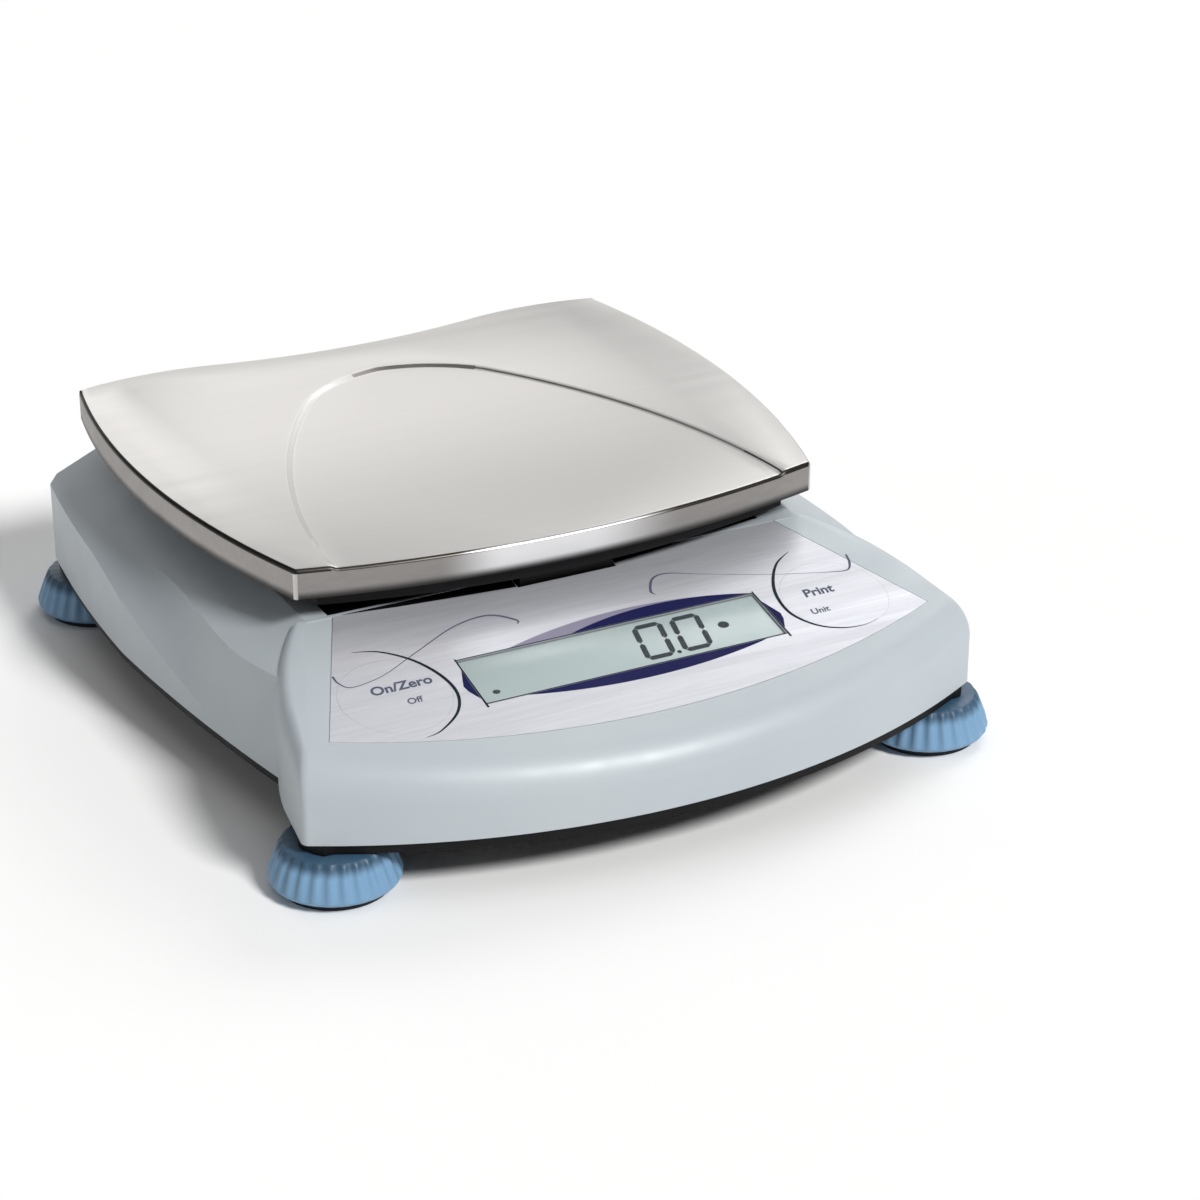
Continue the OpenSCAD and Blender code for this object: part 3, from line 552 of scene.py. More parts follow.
# %% Sizes of the housing
FRONT_Y, REAR_Y = -108.9, 101.1
FRONT_W, FRONT_BOW = 186.3, 24.3
SIDE_W, REAR_W, WAIST_W = 191.0, 182.4, 172.0
SHELL_Z, DECK_Z, SHOULDER_Z, WALL = 15.0, 47.0, 37.0, 2.5
TILT = radians(12)
PANEL_Y, PANEL_Z, ROLL, SIDE_ROLL = FRONT_Y + 39.4, 39.4, 8.0, 0.55
CORNER_Y = FRONT_Y + FRONT_BOW
COLUMN_Y, COLUMN_W = CORNER_Y + 13.7, FRONT_W - 5.5
WAIST_Y, BULGE_Y, SHOULDER_Y = COLUMN_Y + 19, REAR_Y - 69, REAR_Y - 21
CONSOLE_BACK_Y, CONSOLE_BACK_W = FRONT_Y + 75, WAIST_W - 20


def panel_height(y):
    """Height of the sloping panel at a distance from front to back."""
    return PANEL_Z + tan(TILT) * (y - PANEL_Y)


def both_sides(half):
    """Mirrors the right half of an outline to the left."""
    return [(-x, y) for x, y in reversed(half) if x > 1e-6] + half


# %% Console
FRONT_STEPS = 56


def console_half(inset, roll=0.0):
    """Right half of the console's outline. The roll moves in less at the sides than in front."""
    side = inset + roll * SIDE_ROLL
    corner = (FRONT_W / 2 - side, CORNER_Y + 0.8 * (inset + roll))
    tip = (0, FRONT_Y + inset + roll)
    front = arc((-corner[0], corner[1]), tip, corner, 2 * FRONT_STEPS)[FRONT_STEPS:-1]
    turn = arc(front[-1], (corner[0] - 0.3, corner[1] + 0.1), (corner[0] + 0.05, corner[1] + 1.6), 6)
    column = (COLUMN_W / 2 - side, COLUMN_Y + 5)
    back = (CONSOLE_BACK_W / 2 - side, CONSOLE_BACK_Y)
    flare = arc(column, ((column[0] + back[0]) / 2 + 2, (column[1] + back[1]) / 2), back, 16)
    return front[:-1] + turn + flare


def console_block(inset, sink, steps, bottom):
    """The console as a solid, moved in by the inset and down by the sink."""
    radius = ROLL - inset
    rows = [[(x, y, bottom) for x, y in both_sides(console_half(inset))]]
    for i in range(steps + 1):
        angle = radians(90 * i / steps)
        ring = both_sides(console_half(inset, radius * (1 - cos(angle))))
        drop = sink + radius * (1 - sin(angle))
        rows.append([(x, y, panel_height(y) - drop) for x, y in ring])
    bm = bmesh.new()
    loft(bm, rows)
    return to_object("console", bm)


# %% Scooped rear part
SCOOP_START_Y, SCOOP_END_Y = SHOULDER_Y - 8, WAIST_Y + 14
SCOOP_START_Z, SCOOP_END_Z = SHOULDER_Z + 0.2, SHELL_Z + 2.5
SCOOP_ROWS, SLANT_STEPS = 60, 12
SHALLOW, TWIST = 26, 58
OUTWARD, INWARD, TOOL_TOP = 8, 36, 94
SLOPE_START_X = 70


def rear_half(inset):
    """Right half of the outline behind the console."""
    hidden = (WAIST_W / 2 - 14 - inset, CONSOLE_BACK_Y - 40)
    waist = (WAIST_W / 2 - 2 - inset, WAIST_Y - 7)
    flank = ((WAIST_W + SIDE_W * 1.9) / 5.8 - inset, (WAIST_Y + BULGE_Y) / 2 + 4)
    bulge = (SIDE_W / 2 - inset, BULGE_Y)
    hip = (SIDE_W / 2 - 1.1 - inset, BULGE_Y + 34)
    corner = (REAR_W / 2 - inset, REAR_Y - 3 - inset)
    back = (REAR_W / 2 - 3 - inset, REAR_Y - inset)
    return [hidden] + arc(waist, flank, bulge, 32)[:-1] + arc(bulge, hip, corner, 24) + [back]


def scoop_tool(side, sink):
    """A twisted block that carves one side: shallow at the shoulder, steep at the waist."""
    wall = [(y, x) for x, y in rear_half(0)]
    front, back = wall[0][0], SCOOP_START_Y - 1
    rows = []
    for i in range(SCOOP_ROWS + 1):
        y = back - (back - front) * i / SCOOP_ROWS
        t = min(1, max(0, (SCOOP_START_Y - y) / (SCOOP_START_Y - SCOOP_END_Y)))
        share = t * t * (3 - 2 * t)
        slope = radians(SHALLOW + TWIST * share)
        x = value_at(wall, y) - sink * sin(slope)
        z = SCOOP_START_Z + (SCOOP_END_Z - SCOOP_START_Z) * share - sink * cos(slope)
        low = (x + OUTWARD * cos(slope), z - OUTWARD * sin(slope))
        high = (x - INWARD * cos(slope), z + INWARD * sin(slope))
        slant = [tuple(a + (b - a) * k / SLANT_STEPS for a, b in zip(low, high))
                 for k in range(SLANT_STEPS + 1)]
        section = slant + [(high[0], TOOL_TOP), (low[0], TOOL_TOP)]
        rows.append([(side * x, y, z) for x, z in section])
    bm = bmesh.new()
    loft(bm, rows)
    bmesh.ops.triangulate(bm, faces=bm.faces[:])
    return to_object("scoop", bm)


def rear_block(inset, sink, bottom):
    """The part behind the console: a prism, two sloping shoulders and two scoops."""
    bm = bmesh.new()
    outline = both_sides(rear_half(inset))
    loft(bm, [[(x, y, z) for x, y in outline] for z in (bottom, DECK_Z - sink)])
    run, fall = REAR_W / 2 + 1 - SLOPE_START_X, DECK_Z - SHOULDER_Z
    for side in (-1, 1):
        everything = bm.verts[:] + bm.edges[:] + bm.faces[:]
        ridge = Vector((side * SLOPE_START_X, 0, DECK_Z - sink)) * MM
        bmesh.ops.bisect_plane(bm, geom=everything, plane_co=ridge,
                               plane_no=(side * fall, 0, run), clear_outer=True)
        bmesh.ops.edgeloop_fill(bm, edges=[e for e in bm.edges if e.is_boundary])
    made = to_object("rear_part", bm)
    for side in (-1, 1):
        made = cut(made, scoop_tool(side, sink))
    return cut(made, panel_slab(-sink - 0.5, 50, (CONSOLE_BACK_Y - 1 - PANEL_Y) / cos(TILT)))


def on_panel(bm):
    """Lays a flat drawing on the tilted panel: X across, Y up the slope, Z out of it."""
    bmesh.ops.rotate(bm, verts=bm.verts[:], cent=(0, 0, 0), matrix=Matrix.Rotation(TILT, 3, "X"))
    bmesh.ops.translate(bm, verts=bm.verts[:], vec=Vector((0, PANEL_Y, PANEL_Z)) * MM)


def panel_slab(low, high, back):
    """A large block over the panel, in front of a line."""
    bm = box_mesh((400, 300, high - low), (0, back - 150, (low + high) / 2))
    on_panel(bm)
    return to_object("slab", bm)


# %% [markdown]
# A mould never leaves a knife edge. The rear part's edges get a small round before the two parts
# are joined, which gives the ridges of the scoops the thin highlight that they show.

# %% Round the edges of the rear part
LEAST_BEND, ROUND_R, ROUND_STEPS = radians(12), 1.2, 4
ROUND_ABOVE_Z, ROUND_BEHIND_Y = 15.5, -50

rear = rear_block(0, 0, SHELL_Z - 2)
bm = bmesh.new()
bm.from_mesh(rear.data)
bmesh.ops.remove_doubles(bm, verts=bm.verts[:], dist=1e-6)
bmesh.ops.dissolve_limit(bm, angle_limit=radians(0.3), verts=bm.verts[:], edges=bm.edges[:])
edges = [e for e in bm.edges if len(e.link_faces) == 2 and e.calc_face_angle(0) > LEAST_BEND
         and max(v.co.z for v in e.verts) > ROUND_ABOVE_Z * MM
         and min(v.co.y for v in e.verts) > ROUND_BEHIND_Y * MM]
bmesh.ops.bevel(bm, geom=edges, offset=ROUND_R * MM, offset_type="OFFSET", affect="EDGES",
                segments=ROUND_STEPS, profile=0.5, material=-1, clamp_overlap=True)
bm.to_mesh(rear.data)
bm.free()
print("rounded", len(edges), "edges")
housing = cut(console_block(0, 0, 14, SHELL_Z - 1), rear, "UNION")


# %% Hollow it and cut its openings
def block(low, high):
    """A box from its lowest to its highest corner."""
    return to_object("block", box_mesh(Vector(high) - Vector(low), (Vector(high) + Vector(low)) / 2))


def drum(radius, low, high, at, along_y=False, tilted=False, sides=96):
    """A cylinder, upright or along Y, or standing on the tilted panel."""
    bm = bmesh.new()
    bmesh.ops.create_cone(bm, cap_ends=True, segments=sides, radius1=radius * MM, radius2=radius * MM,
                          depth=(high - low) * MM)
    bmesh.ops.translate(bm, vec=(0, 0, (low + high) / 2 * MM), verts=bm.verts[:])
    if along_y:
        turn = Matrix.Rotation(radians(-90), 3, "X")
        bmesh.ops.rotate(bm, verts=bm.verts[:], cent=(0, 0, 0), matrix=turn)
    bmesh.ops.translate(bm, vec=Vector(at) * MM, verts=bm.verts[:])
    if tilted:
        on_panel(bm)
    return to_object("drum", bm)


def plate(outline, low, high, tilted=True):
    """A flat plate from an outline, on the panel or level."""
    bm = bmesh.new()
    loft(bm, [[(x, y, z) for x, y in outline] for z in (low, high)])
    if tilted:
        on_panel(bm)
    return to_object("plate", bm)


WINDOW_W, WINDOW_H = 83.2, 17.6
KEY_X, KEY_Y, KEY_R = 61.5, 1.2, 14.0


def film_outline(grow):
    """Outline of the printed film on the panel."""
    front_x, back_x = KEY_X + 21.7 + grow, KEY_X + 1.5 + grow
    front = arc((-front_x, -9.5), (0, -26 - grow), (front_x, -9.5), 72)
    return front + [(back_x, 35.5 + grow), (-back_x, 35.5 + grow)]


def rectangle(width, height):
    """Corners of a rectangle about the middle."""
    x, y = width / 2, height / 2
    return [(-x, -y), (x, -y), (x, y), (-x, y)]


housing = cut(housing, block((-200, -200, -5), (200, 200, SHELL_Z)))
cavity = cut(console_block(WALL, WALL, 6, SHELL_Z - 3), rear_block(WALL, WALL, SHELL_Z - 4), "UNION")
film_pocket = plate(film_outline(0.15), -0.4, 4)
window_hole = plate(rectangle(WINDOW_W + 0.8, WINDOW_H + 0.8), -10, 10)
key_holes = [drum(KEY_R + 0.15, -10, 10, (x, KEY_Y, 0), tilted=True) for x in (-KEY_X, KEY_X)]
spacer_hole = block((-14, CONSOLE_BACK_Y - 5, DECK_Z - 6), (14, CONSOLE_BACK_Y + 20, DECK_Z + 6))
level_hole = drum(8.3, -6, 6, (44, CONSOLE_BACK_Y + 22, DECK_Z))
lock_hole = drum(7.1, -6, 6, (-44, CONSOLE_BACK_Y + 22, DECK_Z))
jack_hole = drum(5.6, -7, 5, (52, REAR_Y, 25), along_y=True)
rear_slot = block((-66, REAR_Y - 5, 22), (-59, REAR_Y + 7, 25))
for tool in (cavity, film_pocket, window_hole, *key_holes, spacer_hole, level_hole, lock_hole,
             jack_hole, rear_slot):
    housing = cut(housing, tool)
housing.name = "housing_shell"
keep(housing, FINISH["housing_plastic"], "housing", ["upper_housing"])

# %% [markdown]
# ## The pan
# The pan is one sheet of stainless steel with a skirt folded down all round, and a field pressed
# down inside an arch. The surface is laid out as two flat fields, outside and inside the arch,
# joined by the small S-shaped step of the press. The rim is then carried out and down through a
# quarter circle, in five rows, and straight on down for the skirt. A bevel would be clamped here,
# because the rim's edges are shorter than the fold is wide. The fold is tighter along the rear.
# The sheet gets its thickness last. Then the skirt, the fold and the step take painted reflections: darker
# steels of their own, with painted highlights on parts of the skirt and the fold.

# %% Edges of the pan
PAN_Z, SKIRT, SHEET, ARCH_DROP, ARCH_W = 62.2, 8.0, 1.0, 0.7, 130.0
PAN_FRONT = CONSOLE_BACK_Y - 2.2
PAN_REAR = PAN_FRONT + 137.4
PAN_FRONT_W, PAN_REAR_W, PAN_WAVE = 146.4, 160.0, 3.2
FRONT_SWELL, SIDE_SWELL = 9.7, 9.2
ARCH_TIP, ARCH_GAP = PAN_REAR - 21.7, 0.15

front_corner = (PAN_FRONT_W / 2, PAN_FRONT)
side_middle = ((PAN_FRONT_W + PAN_REAR_W) / 4 + SIDE_SWELL, (PAN_FRONT + PAN_REAR) / 2)
rear_corner = (PAN_REAR_W / 2, PAN_REAR)
bow = arc((-front_corner[0], PAN_FRONT), (0, PAN_FRONT - FRONT_SWELL), front_corner, 128)
right_edge = arc(front_corner, side_middle, rear_corner, 48)
crest = (PAN_REAR_W * 0.24, PAN_REAR + PAN_WAVE * 0.2)
shoulder = arc(rear_corner, (PAN_REAR_W * 0.37, PAN_REAR + PAN_WAVE * 0.9), crest, 16)
hollow = arc(crest, (0, PAN_REAR - PAN_WAVE), (-crest[0], crest[1]), 28)


def arch_row(inset):
    """The arch from its right foot over the tip to its left foot, moved in by an inset."""
    foot = (ARCH_W / 2 - inset, PAN_FRONT - 3.4)
    hip = (ARCH_W * 0.21 - inset * 0.8, ARCH_TIP - 13.5 - inset * 0.7)
    side = arc(foot, (ARCH_W * 0.408 - inset, ARCH_TIP - 61.5 - inset * 0.3), hip, 30)[1:]
    tip = arc(hip, (ARCH_W * 0.11, ARCH_TIP - 4.2 - inset), (0, ARCH_TIP - inset), 14)
    foot_x = ARCH_W / 2 - inset - ARCH_GAP
    half = [(foot_x, value_at(bow, foot_x))] + side[:-1] + tip
    return half + [(-x, y) for x, y in reversed(half[:-1])]


def bend(before, at, after, reach=0.7, steps=3):
    """A small round in place of a corner."""
    ends = []
    for other in (before, after):
        share = reach / hypot(other[0] - at[0], other[1] - at[1])
        ends.append((at[0] + (other[0] - at[0]) * share, at[1] + (other[1] - at[1]) * share))
    curve = []
    for t in (i / steps for i in range(steps + 1)):
        curve.append(tuple((1 - t) ** 2 * a + 2 * t * (1 - t) * b + t * t * c
                           for a, b, c in zip(ends[0], at, ends[1])))
    return curve


def rim_loop(bm):
    """The vertices of the open edge, in order."""
    edge = next(e for e in bm.edges if e.is_boundary)
    loop, vert = [edge.verts[0]], edge.verts[1]
    while vert != loop[0]:
        loop.append(vert)
        edge = next(e for e in vert.link_edges if e.is_boundary and e != edge)
        vert = edge.other_vert(vert)
    return loop


def way_out(vert):
    """The level way out of the sheet at a rim vertex, longer where the rim turns a corner."""
    ways = []
    for edge in (e for e in vert.link_edges if e.is_boundary):
        way = (edge.verts[1].co - edge.verts[0].co).cross(Vector((0, 0, 1))).normalized()
        inside = edge.link_faces[0].calc_center_median() - edge.verts[0].co
        ways.append(-way if way.dot(inside) > 0 else way)
    return (ways[0] + ways[1]) / (1 + ways[0].dot(ways[1]))


# %% Lay out the sheet
STEP = ((0.0, 0.0), (0.5, 0.1), (1.0, 0.32), (1.5, 0.68), (2.0, 0.9), (2.5, 1.0))
bm = bmesh.new()
rows = []
for inset, share in STEP:
    places = [(x, y, PAN_Z - ARCH_DROP * share) for x, y in arch_row(inset)]
    rows.append(next_row(bm, rows[-1], places, closed=False) if rows else start_row(bm, places))
reach = ARCH_W / 2 - ARCH_GAP
outside = [(x, y) for x, y in bow if x > reach][:-1] + bend(bow[-2], front_corner, right_edge[1])
outside += right_edge[1:-1] + bend(right_edge[-2], rear_corner, shoulder[1]) + shoulder[1:-1] + hollow
outside += [(-x, y) for x, y in reversed(outside[:-len(hollow)])]
rim = start_row(bm, [(x, y, PAN_Z) for x, y in outside])
bm.faces.new([rows[0][0]] + rim + rows[0][::-1][:-1])
inner_reach = reach - STEP[-1][0]
inner_bow = start_row(bm, [(x, y, PAN_Z - ARCH_DROP) for x, y in bow if abs(x) < inner_reach])
bm.faces.new(rows[-1] + inner_bow)
bmesh.ops.recalc_face_normals(bm, faces=bm.faces[:])
print("sheet", len(bm.faces), "faces")

# %% Fold the rim and give the sheet its thickness
FOLD_R, REAR_FOLD, FOLD_ROWS = 1.1, 0.35, 5
rim = rim_loop(bm)
ways = [way_out(vert) for vert in rim]
ways = [way * (REAR_FOLD if way.normalized().y > 0.5 else 1.0) for way in ways]
flat = [vert.co / MM - way * FOLD_R for vert, way in zip(rim, ways)]
for vert, place in zip(rim, flat):
    vert.co = place * MM
for i in range(1, FOLD_ROWS + 1):
    angle = radians(90 / FOLD_ROWS * i)
    down = Vector((0, 0, -FOLD_R * (1 - cos(angle))))
    rim = next_row(bm, rim, [place + way * FOLD_R * sin(angle) + down for place, way in zip(flat, ways)])
rim = next_row(bm, rim, [(*(vert.co / MM).xy, PAN_Z - SKIRT) for vert in rim])
bmesh.ops.recalc_face_normals(bm, faces=bm.faces[:])
if max(bm.faces, key=lambda f: f.calc_area()).normal.z < 0:
    bmesh.ops.reverse_faces(bm, faces=bm.faces[:])
bmesh.ops.solidify(bm, geom=bm.faces[:], thickness=SHEET * MM)
pan = to_object("pan_sheet", bm)
keep(pan, FINISH["pan_steel"], "pan", ["weighing_pan"])

# %% Painted reflections of the skirt, the fold and the step
PAN_STEEL_AND_REFLECTIONS = ("pan_steel", "skirt_painted_reflection", "fold_painted_reflection", "arch_painted_dark_reflection", "step_painted_reflection")
TURN_X, FADE_X = -9, 25
STEEP, STEEPER = 0.2, 0.38


def steel_or_reflection_of(face):
    """Picks the steel of a face from its place and from the way it looks: plain steel or a painted
    reflection.
    """
    x, y, z = face.center / MM
    nx, ny, nz = face.normal
    steepness = hypot(nx, ny)
    # Painted reflection on the pressed step: a mid grey band on its left arm, a dark one on its right arm.
    if y > PAN_FRONT + 6 and z > PAN_Z - 0.69 and nz > 0.85 and abs(x) < 62:
        if x <= TURN_X and steepness > STEEP:
            return "step_painted_reflection"
        if x > TURN_X and nx + ny < 0 and steepness > (STEEP if x < FADE_X else STEEPER):
            return "arch_painted_dark_reflection"
    # Faces at the corners keep the bright steel as a painted highlight.
    corner_painted_highlight = any(hypot(abs(x) - cx, y - cy) < 0.9 for cx, cy in (front_corner, rear_corner))
    # The skirt takes a dark painted reflection.
    if abs(nz) < 0.3 and z < PAN_Z - 1 and not corner_painted_highlight:
        return "skirt_painted_reflection"
    # The outer faces of the fold take a dark painted reflection.
    if 0.12 < nz < 0.9 and z < PAN_Z - 0.05 and ny < 0.3 and nx < 0.3:
        return "fold_painted_reflection"
    return "pan_steel"


for steel in PAN_STEEL_AND_REFLECTIONS[1:]:
    pan.data.materials.append(FINISH[steel])
for face in pan.data.polygons:
    face.material_index = PAN_STEEL_AND_REFLECTIONS.index(steel_or_reflection_of(face))
print("pan", [tuple(round(c, 4) for c in corner) for corner in (pan.bound_box[0], pan.bound_box[6])])

# %% [markdown]
# ## The feet
# Each foot is a fluted cone that a finger can turn. One flute is modelled as a narrow strip of
# the cone with a hollow in it, and `spin` with duplicates lays it round 26 times.

# %% A fluted foot
FOOT_PLACES = {"fl": (-83.4, -79.7), "fr": (83.4, -79.7), "rl": (-81.9, 92.5), "rr": (81.9, 92.5)}
FLUTES, FLUTE_STEPS = 26, 10
PROFILE = ((0.001, 1.6, 0.0), (4.2, 1.6, 0.0), (13.2, 1.6, 0.0), (14.6, 1.75, 0.0), (15.7, 2.3, 0.05),
           (16.25, 3.1, 0.2), (16.3, 4.0, 0.5), (15.55, 6.2, 0.65), (14.7, 8.4, 0.65),
           (13.75, 10.6, 0.6), (13.2, 11.5, 0.5), (12.75, 12.0, 0.3), (12.2, 12.2, 0.15),
           (2.6, 12.2, 0.0))


def flute_row(radius, z, depth):
    """One row of a flute: a ridge on each side and a round hollow between."""
    row = []
    for i in range(FLUTE_STEPS + 1):
        across = i / FLUTE_STEPS * 2 - 1
        turn = across * pi / FLUTES
        dip = depth * max(0.0, 1 - (abs(across) / 0.72) ** 2)
        row.append(((radius - dip) * cos(turn), (radius - dip) * sin(turn), z))
    return row


def fluted_foot(name, at):
    """A whole foot from one flute, drawn through (radius, height, depth) points."""
    bm = bmesh.new()
    row = start_row(bm, flute_row(*PROFILE[0]))
    for radius, z, depth in PROFILE[1:]:
        row = next_row(bm, row, flute_row(radius, z, depth), closed=False)
    bmesh.ops.spin(bm, geom=bm.verts[:] + bm.edges[:] + bm.faces[:], cent=(0, 0, 0), axis=(0, 0, 1),
                   angle=2 * pi, steps=FLUTES, use_duplicate=True)
    bmesh.ops.remove_doubles(bm, verts=bm.verts[:], dist=0.004 * MM)
    bmesh.ops.dissolve_degenerate(bm, dist=1e-7, edges=bm.edges[:])
    bmesh.ops.edgeloop_fill(bm, edges=[e for e in bm.edges if e.is_boundary])
    bmesh.ops.translate(bm, vec=Vector((*at, 0)) * MM, verts=bm.verts[:])
    return to_object(name, bm)


for place, at in FOOT_PLACES.items():
    foot = fluted_foot("foot_" + place, at)
    keep(foot, FINISH["foot_plastic"], "knob_" + place, ["foot_knob_" + place])

# %% [markdown]
# ## The display
# A liquid crystal sits just under the window. Its digits are thin dark bars with pointed ends,
# seven to a digit, all leaning a little to the right. Only the six bars of a zero are lit.


# %% Small solids on the panel
LCD_TOP = -0.5
PRINT_LOW, PRINT_HIGH = 0.004, 0.03


def panel_box(name, low, high, round_by=0.15):
    """A box that lies on the panel, with its edges rounded."""
    bm = box_mesh(Vector(high) - Vector(low), (Vector(high) + Vector(low)) / 2)
    bmesh.ops.bevel(bm, geom=bm.edges[:], offset=round_by * MM, offset_type="OFFSET", affect="EDGES",
                    segments=2, profile=0.5, material=-1)
    on_panel(bm)
    return to_object(name, bm)


def printed(name, outline, material, height=0.0):
    """A flat print with a thickness of its own, from a closed outline on the panel."""
    made = plate(outline, height + PRINT_LOW, height + PRINT_HIGH)
    made.name = name
    keep(made, material, "housing")


lcd_glass = panel_box("lcd_glass", (-41.4, -8.6, -4.3), (41.4, 8.6, LCD_TOP))
keep(lcd_glass, FINISH["lcd"], "housing", ["lcd_module"])
window = panel_box("window_sheet", (-41.6, -8.8, -0.3), (41.6, 8.8, 0.0), 0.1)
keep(window, FINISH["window"], "housing", ["display_window"])


# %% Seven-segment digits
DIGIT_Y, DIGIT_W, DIGIT_H, LEAN = -6.0, 7.0, 12.4, 0.17
BAR_HALF, BAR_GAP = 0.78, 0.08


def bar(start, end):
    """A bar with pointed ends, as on a liquid crystal."""
    (x0, y0), (x1, y1) = start, end
    length = hypot(x1 - x0, y1 - y0)
    ux, uy = (x1 - x0) / length * BAR_HALF, (y1 - y0) / length * BAR_HALF
    return [(x0, y0), (x0 + ux - uy, y0 + uy + ux), (x1 - ux - uy, y1 - uy + ux),
            (x1, y1), (x1 - ux + uy, y1 - uy - ux), (x0 + ux + uy, y0 + uy - ux)]


def zero(name, left):
    """The six lit bars of a zero, as six prints."""
    right, bottom, gap = left + DIGIT_W, DIGIT_Y, BAR_GAP
    middle, top = bottom + DIGIT_H / 2, bottom + DIGIT_H
    places = {
        "a": ((left + gap, top), (right - gap, top)),
        "d": ((left + gap, bottom), (right - gap, bottom)),
        "b": ((right, middle + gap), (right, top - gap)),
        "c": ((right, bottom + gap), (right, middle - gap)),
        "e": ((left, bottom + gap), (left, middle - gap)),
        "f": ((left, middle + gap), (left, top - gap)),
    }
    for key, (start, end) in places.items():
        outline = [(x + (y - bottom) * LEAN, y) for x, y in bar(start, end)]
        printed(f"{name}_{key}", outline, INK["dark"], LCD_TOP)


def dot(name, x, y, radius, squash=1.0):
    """A small round mark of the liquid crystal."""
    turns = [i * pi / 12 for i in range(24)]
    outline = [(x + radius * cos(turn), y + radius * squash * sin(turn)) for turn in turns]
    printed(name, outline, INK["dark"], LCD_TOP)


zero("digit_tens", 4.0)
zero("digit_ones", 14.6)
dot("digit_point", 12.6, DIGIT_Y, 0.62)
dot("unit_mark", 28.5, 0.2, 1.5, 0.9)
dot("stable_mark", -37.4, -5.0, 1.0, 0.8)

# %% [markdown]
# ## Printing on the film
# The film carries plain ornaments: lenses that hug the display, thin brackets and wedges at its
# ends, an arc beside each key and a long swing of a line on each side. The lines are ribbons
# whose width swells and fades, on a smooth curve through a few points. The pan throws a deep shadow on the
# deck and on the rear border of the film, deeper than our lights make it. Thin black strips lie
# there and stand for it.


# %% Ribbons
def smooth_line(points, steps=10):
    """Points of a curve that passes through every given point."""
    ends = [points[0]] + list(points) + [points[-1]]
    line = []
    for a, b, c, d in zip(ends, ends[1:], ends[2:], ends[3:]):
        for i in range(steps):
            t = i / steps
            line.append(tuple(0.5 * (2 * q + (r - p) * t + (2 * p - 5 * q + 4 * r - s) * t * t
                                     + (3 * q - p - 3 * r + s) * t ** 3) for p, q, r, s in zip(a, b, c, d)))
    return line + [tuple(points[-1])]


THINNEST = 0.02


def ribbon(name, points, material):
    """A print that follows (x, y, half width) points on the panel."""
    line = smooth_line(points)
    left, right = [], []
    for i, (x, y, half) in enumerate(line):
        before, after = line[max(i - 1, 0)], line[min(i + 1, len(line) - 1)]
        dx, dy = after[0] - before[0], after[1] - before[1]
        length = hypot(dx, dy) or 1.0
        half = max(half, THINNEST)
        left.append((x - dy / length * half, y + dx / length * half))
        right.append((x + dy / length * half, y - dx / length * half))
    bm = bmesh.new()
    rail = start_row(bm, [(x, y, PRINT_LOW) for x, y in left])
    next_row(bm, rail, [(x, y, PRINT_LOW) for x, y in right], closed=False)
    bmesh.ops.recalc_face_normals(bm, faces=bm.faces[:])
    bmesh.ops.solidify(bm, geom=bm.faces[:], thickness=(PRINT_LOW - PRINT_HIGH) * MM)
    on_panel(bm)
    keep(to_object(name, bm), material, "housing")


# %% Ornaments of the film
RIBBONS = (
    ("key_arc_left", "dark", [
        (-64.5, 20.6, 0.05), (-58.0, 18.6, 0.25), (-51.5, 12.6, 0.38), (-47.6, 4.6, 0.45),
        (-46.9, -3.0, 0.42), (-50.0, -9.6, 0.35), (-56.5, -14.6, 0.2), (-61.0, -15.8, 0.05)]),
    ("key_arc_right", "dark", [
        (59.8, 21.9, 0.05), (54.2, 18.3, 0.3), (49.6, 12.1, 0.42), (47.0, 5.5, 0.45), (46.8, -2.0, 0.42),
        (50.3, -8.2, 0.32), (55.7, -11.6, 0.22), (62.0, -12.6, 0.1), (67.0, -11.5, 0.04)]),
    ("swing_left", "grey", [
        (-72.6, 13.4, 0.3), (-72.3, 10.4, 0.22), (-69.7, 7.9, 0.14), (-61.0, 9.6, 0.1), (-49.5, 15.4, 0.14),
        (-36.4, 21.8, 0.2), (-26.5, 23.2, 0.3), (-20.6, 19.2, 0.34), (-20.9, 17.4, 0.1)]),
    ("swing_right", "grey", [
        (17.8, 16.9, 0.1), (17.3, 18.6, 0.34), (20.3, 23.2, 0.3), (25.0, 24.0, 0.2), (32.9, 20.9, 0.08),
        (42.8, 17.2, 0.06), (51.1, 14.3, 0.06), (58.8, 12.1, 0.06), (66.0, 10.2, 0.1), (70.4, 9.6, 0.2),
        (72.6, 12.2, 0.34), (73.6, 15.8, 0.25)]),
)
for name, ink, points in RIBBONS:
    ribbon(name, points, INK[ink])
LENSES = (
    ("lens_upper", ((-27, 9.25), (7, 14.2), (41, 9.25)), "lilac", 0.0),
    ("lens_upper_core", ((-10, 9.25), (13, 13.2), (40.5, 9.25)), "navy", PRINT_HIGH),
    ("lens_lower", ((36, -9.25), (3, -13.2), (-31, -9.25)), "navy", 0.0),
)
for name, (start, through, end), ink, height in LENSES:
    printed(name, arc(start, through, end, 40), INK[ink], height)

# %% Shadow strips, brackets and the edges of the display
SIDES = {"left": -1, "right": 1}
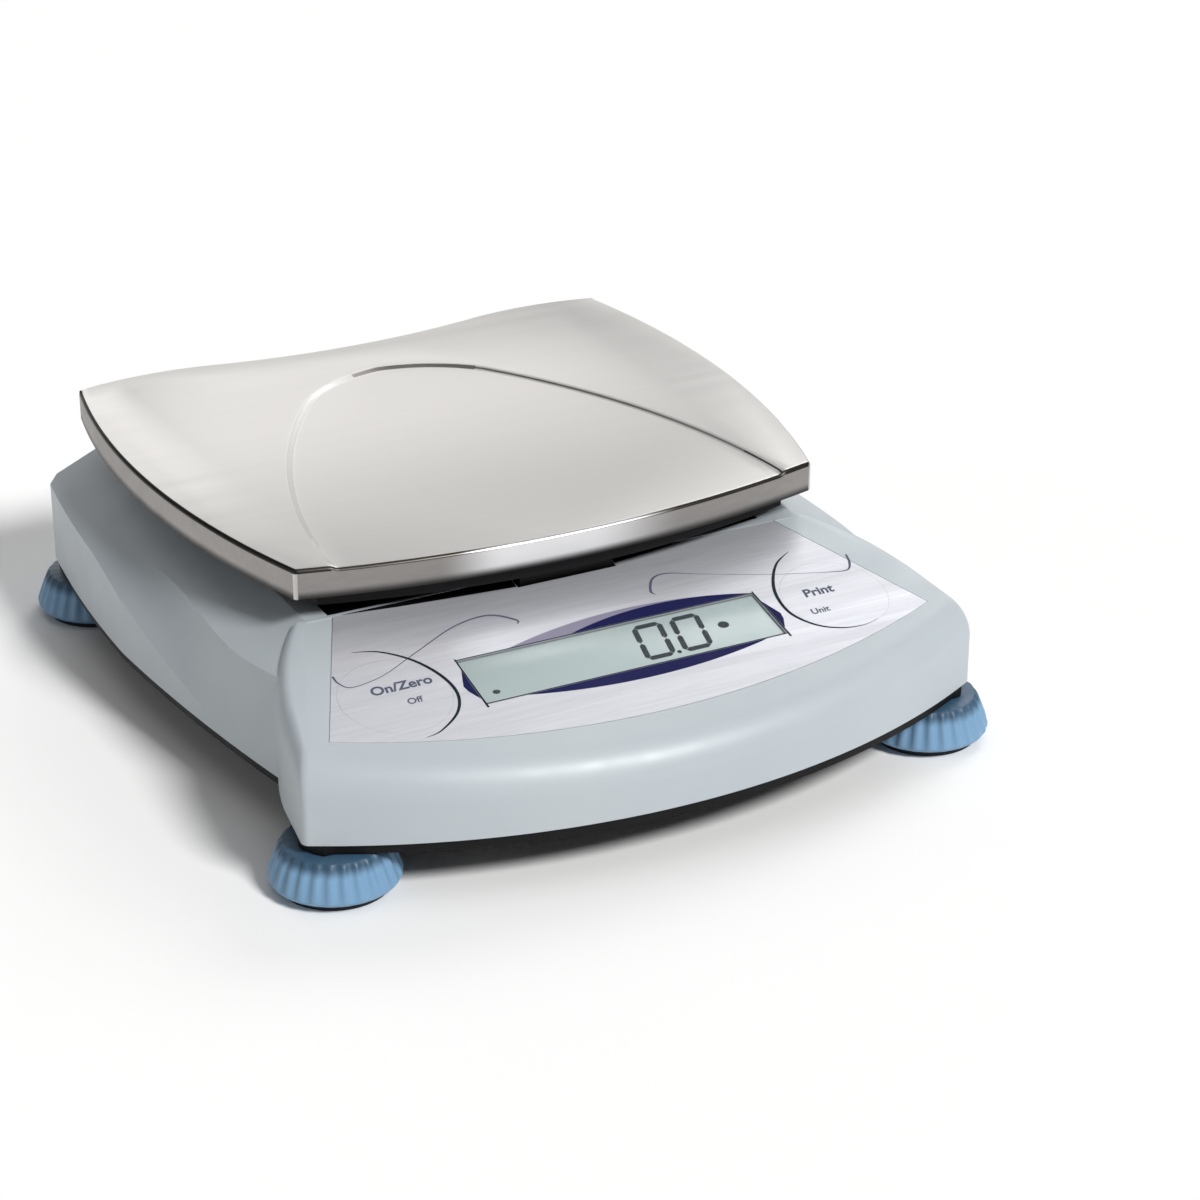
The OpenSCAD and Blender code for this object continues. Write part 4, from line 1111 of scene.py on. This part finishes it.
# Outlines of the painted shadow strips on the film's rear border and on the deck under the pan.
FILM_SHADOW_STRIP = {
    "left": [(-60.5, 36.2), (-60.5, 35.6), (-46, 34.0), (-31.5, 32.9), (-14.3, 31.7), (-14.3, 36.2)],
    "right": [(14.3, 36.2), (14.3, 32.6), (29.1, 34.5), (42.0, 36.2)],
}
DECK_SHADOW_STRIP = {
    "left": [(-64, -33.8), (-14.6, -33.8), (-14.6, -26), (-64, -26)],
    "right": [(14.6, -26), (14.6, -33.8), (42, -33.8), (60, -31.6), (60, -26)],
}
for label in SIDES:
    printed("film_painted_shadow_" + label, FILM_SHADOW_STRIP[label], INK["black"])
    strip = plate(DECK_SHADOW_STRIP[label], DECK_Z + PRINT_LOW, DECK_Z + PRINT_HIGH, tilted=False)
    strip.name = "deck_painted_shadow_" + label
    keep(strip, INK["black"], "housing")
for label, side in SIDES.items():
    line = [(side * 41.9, 9.6, 0.2), (side * 42.0, 0.0, 0.22), (side * 42.1, -10.4, 0.3)]
    ribbon("bracket_" + label, line, INK["dark"])
    wedge = [(side * 42.2, 5.0), (side * 44.4, -1.0), (side * 44.0, -3.2), (side * 42.4, -6.8)]
    printed("wedge_" + label, wedge if side > 0 else wedge[::-1], INK["navy"])
for label, middle in (("top", 9.0), ("bottom", -9.0)):
    outline = [(x, middle + y) for x, y in rectangle(WINDOW_W + 0.4, 0.32)]
    printed("display_edge_" + label, outline, INK["dark"], PRINT_HIGH)


# %% [markdown]
# ## Keys and captions
# Each key is a cap in its hole, with a flange that holds it under the panel and a stem for its
# switch. Only words that any scale carries are printed on it. Blender's own font becomes a mesh
# first and is then laid on the key, so it moves with it.

# %% Key caps and words
LETTER_HALF = 0.012


def caption(name, words, x, y, size, key, bold):
    """Flat lettering on a key."""
    text = bpy.data.curves.new(name, "FONT")
    text.body = words
    text.align_x, text.align_y = "CENTER", "CENTER"
    text.size = size * MM
    text.extrude = LETTER_HALF * MM
    text.offset = bold * MM
    text.shear = 0.12
    loose = bpy.data.objects.new(name + "_text", text)
    scene.collection.objects.link(loose)
    graph = bpy.context.evaluated_depsgraph_get()
    bm = bmesh.new()
    bm.from_mesh(bpy.data.meshes.new_from_object(loose.evaluated_get(graph)))
    bpy.data.objects.remove(loose)
    bmesh.ops.remove_doubles(bm, verts=bm.verts[:], dist=1e-7)
    bmesh.ops.translate(bm, vec=Vector((x, y, PRINT_LOW + LETTER_HALF)) * MM, verts=bm.verts[:])
    on_panel(bm)
    keep(to_object(name, bm), INK["grey"], key)


for label, side in SIDES.items():
    place = (side * KEY_X, KEY_Y, 0)
    cap = drum(KEY_R + 0.1, -WALL - 0.2, 0.0, place, tilted=True, sides=128)
    flange = drum(KEY_R + 1.4, -WALL - 1.2, -WALL - 0.1, place, tilted=True)
    stem = drum(2.2, -4.5, -WALL - 1.0, place, tilted=True, sides=24)
    cap = cut(cut(cap, flange, "UNION"), stem, "UNION")
    cap.name = "cap_" + label
    keep(cap, FINISH["key_film"], "key_" + label, [label + "_key"])

caption("word_on", "On/Zero", -58.6, 4.4, 4.4, "key_left", 0.12)
caption("word_off", "Off", -57.8, -1.9, 3.0, "key_left", 0.06)
caption("word_print", "Print", 58.2, 4.0, 4.4, "key_right", 0.12)
caption("word_unit", "Unit", 54.6, -3.4, 3.0, "key_right", 0.06)
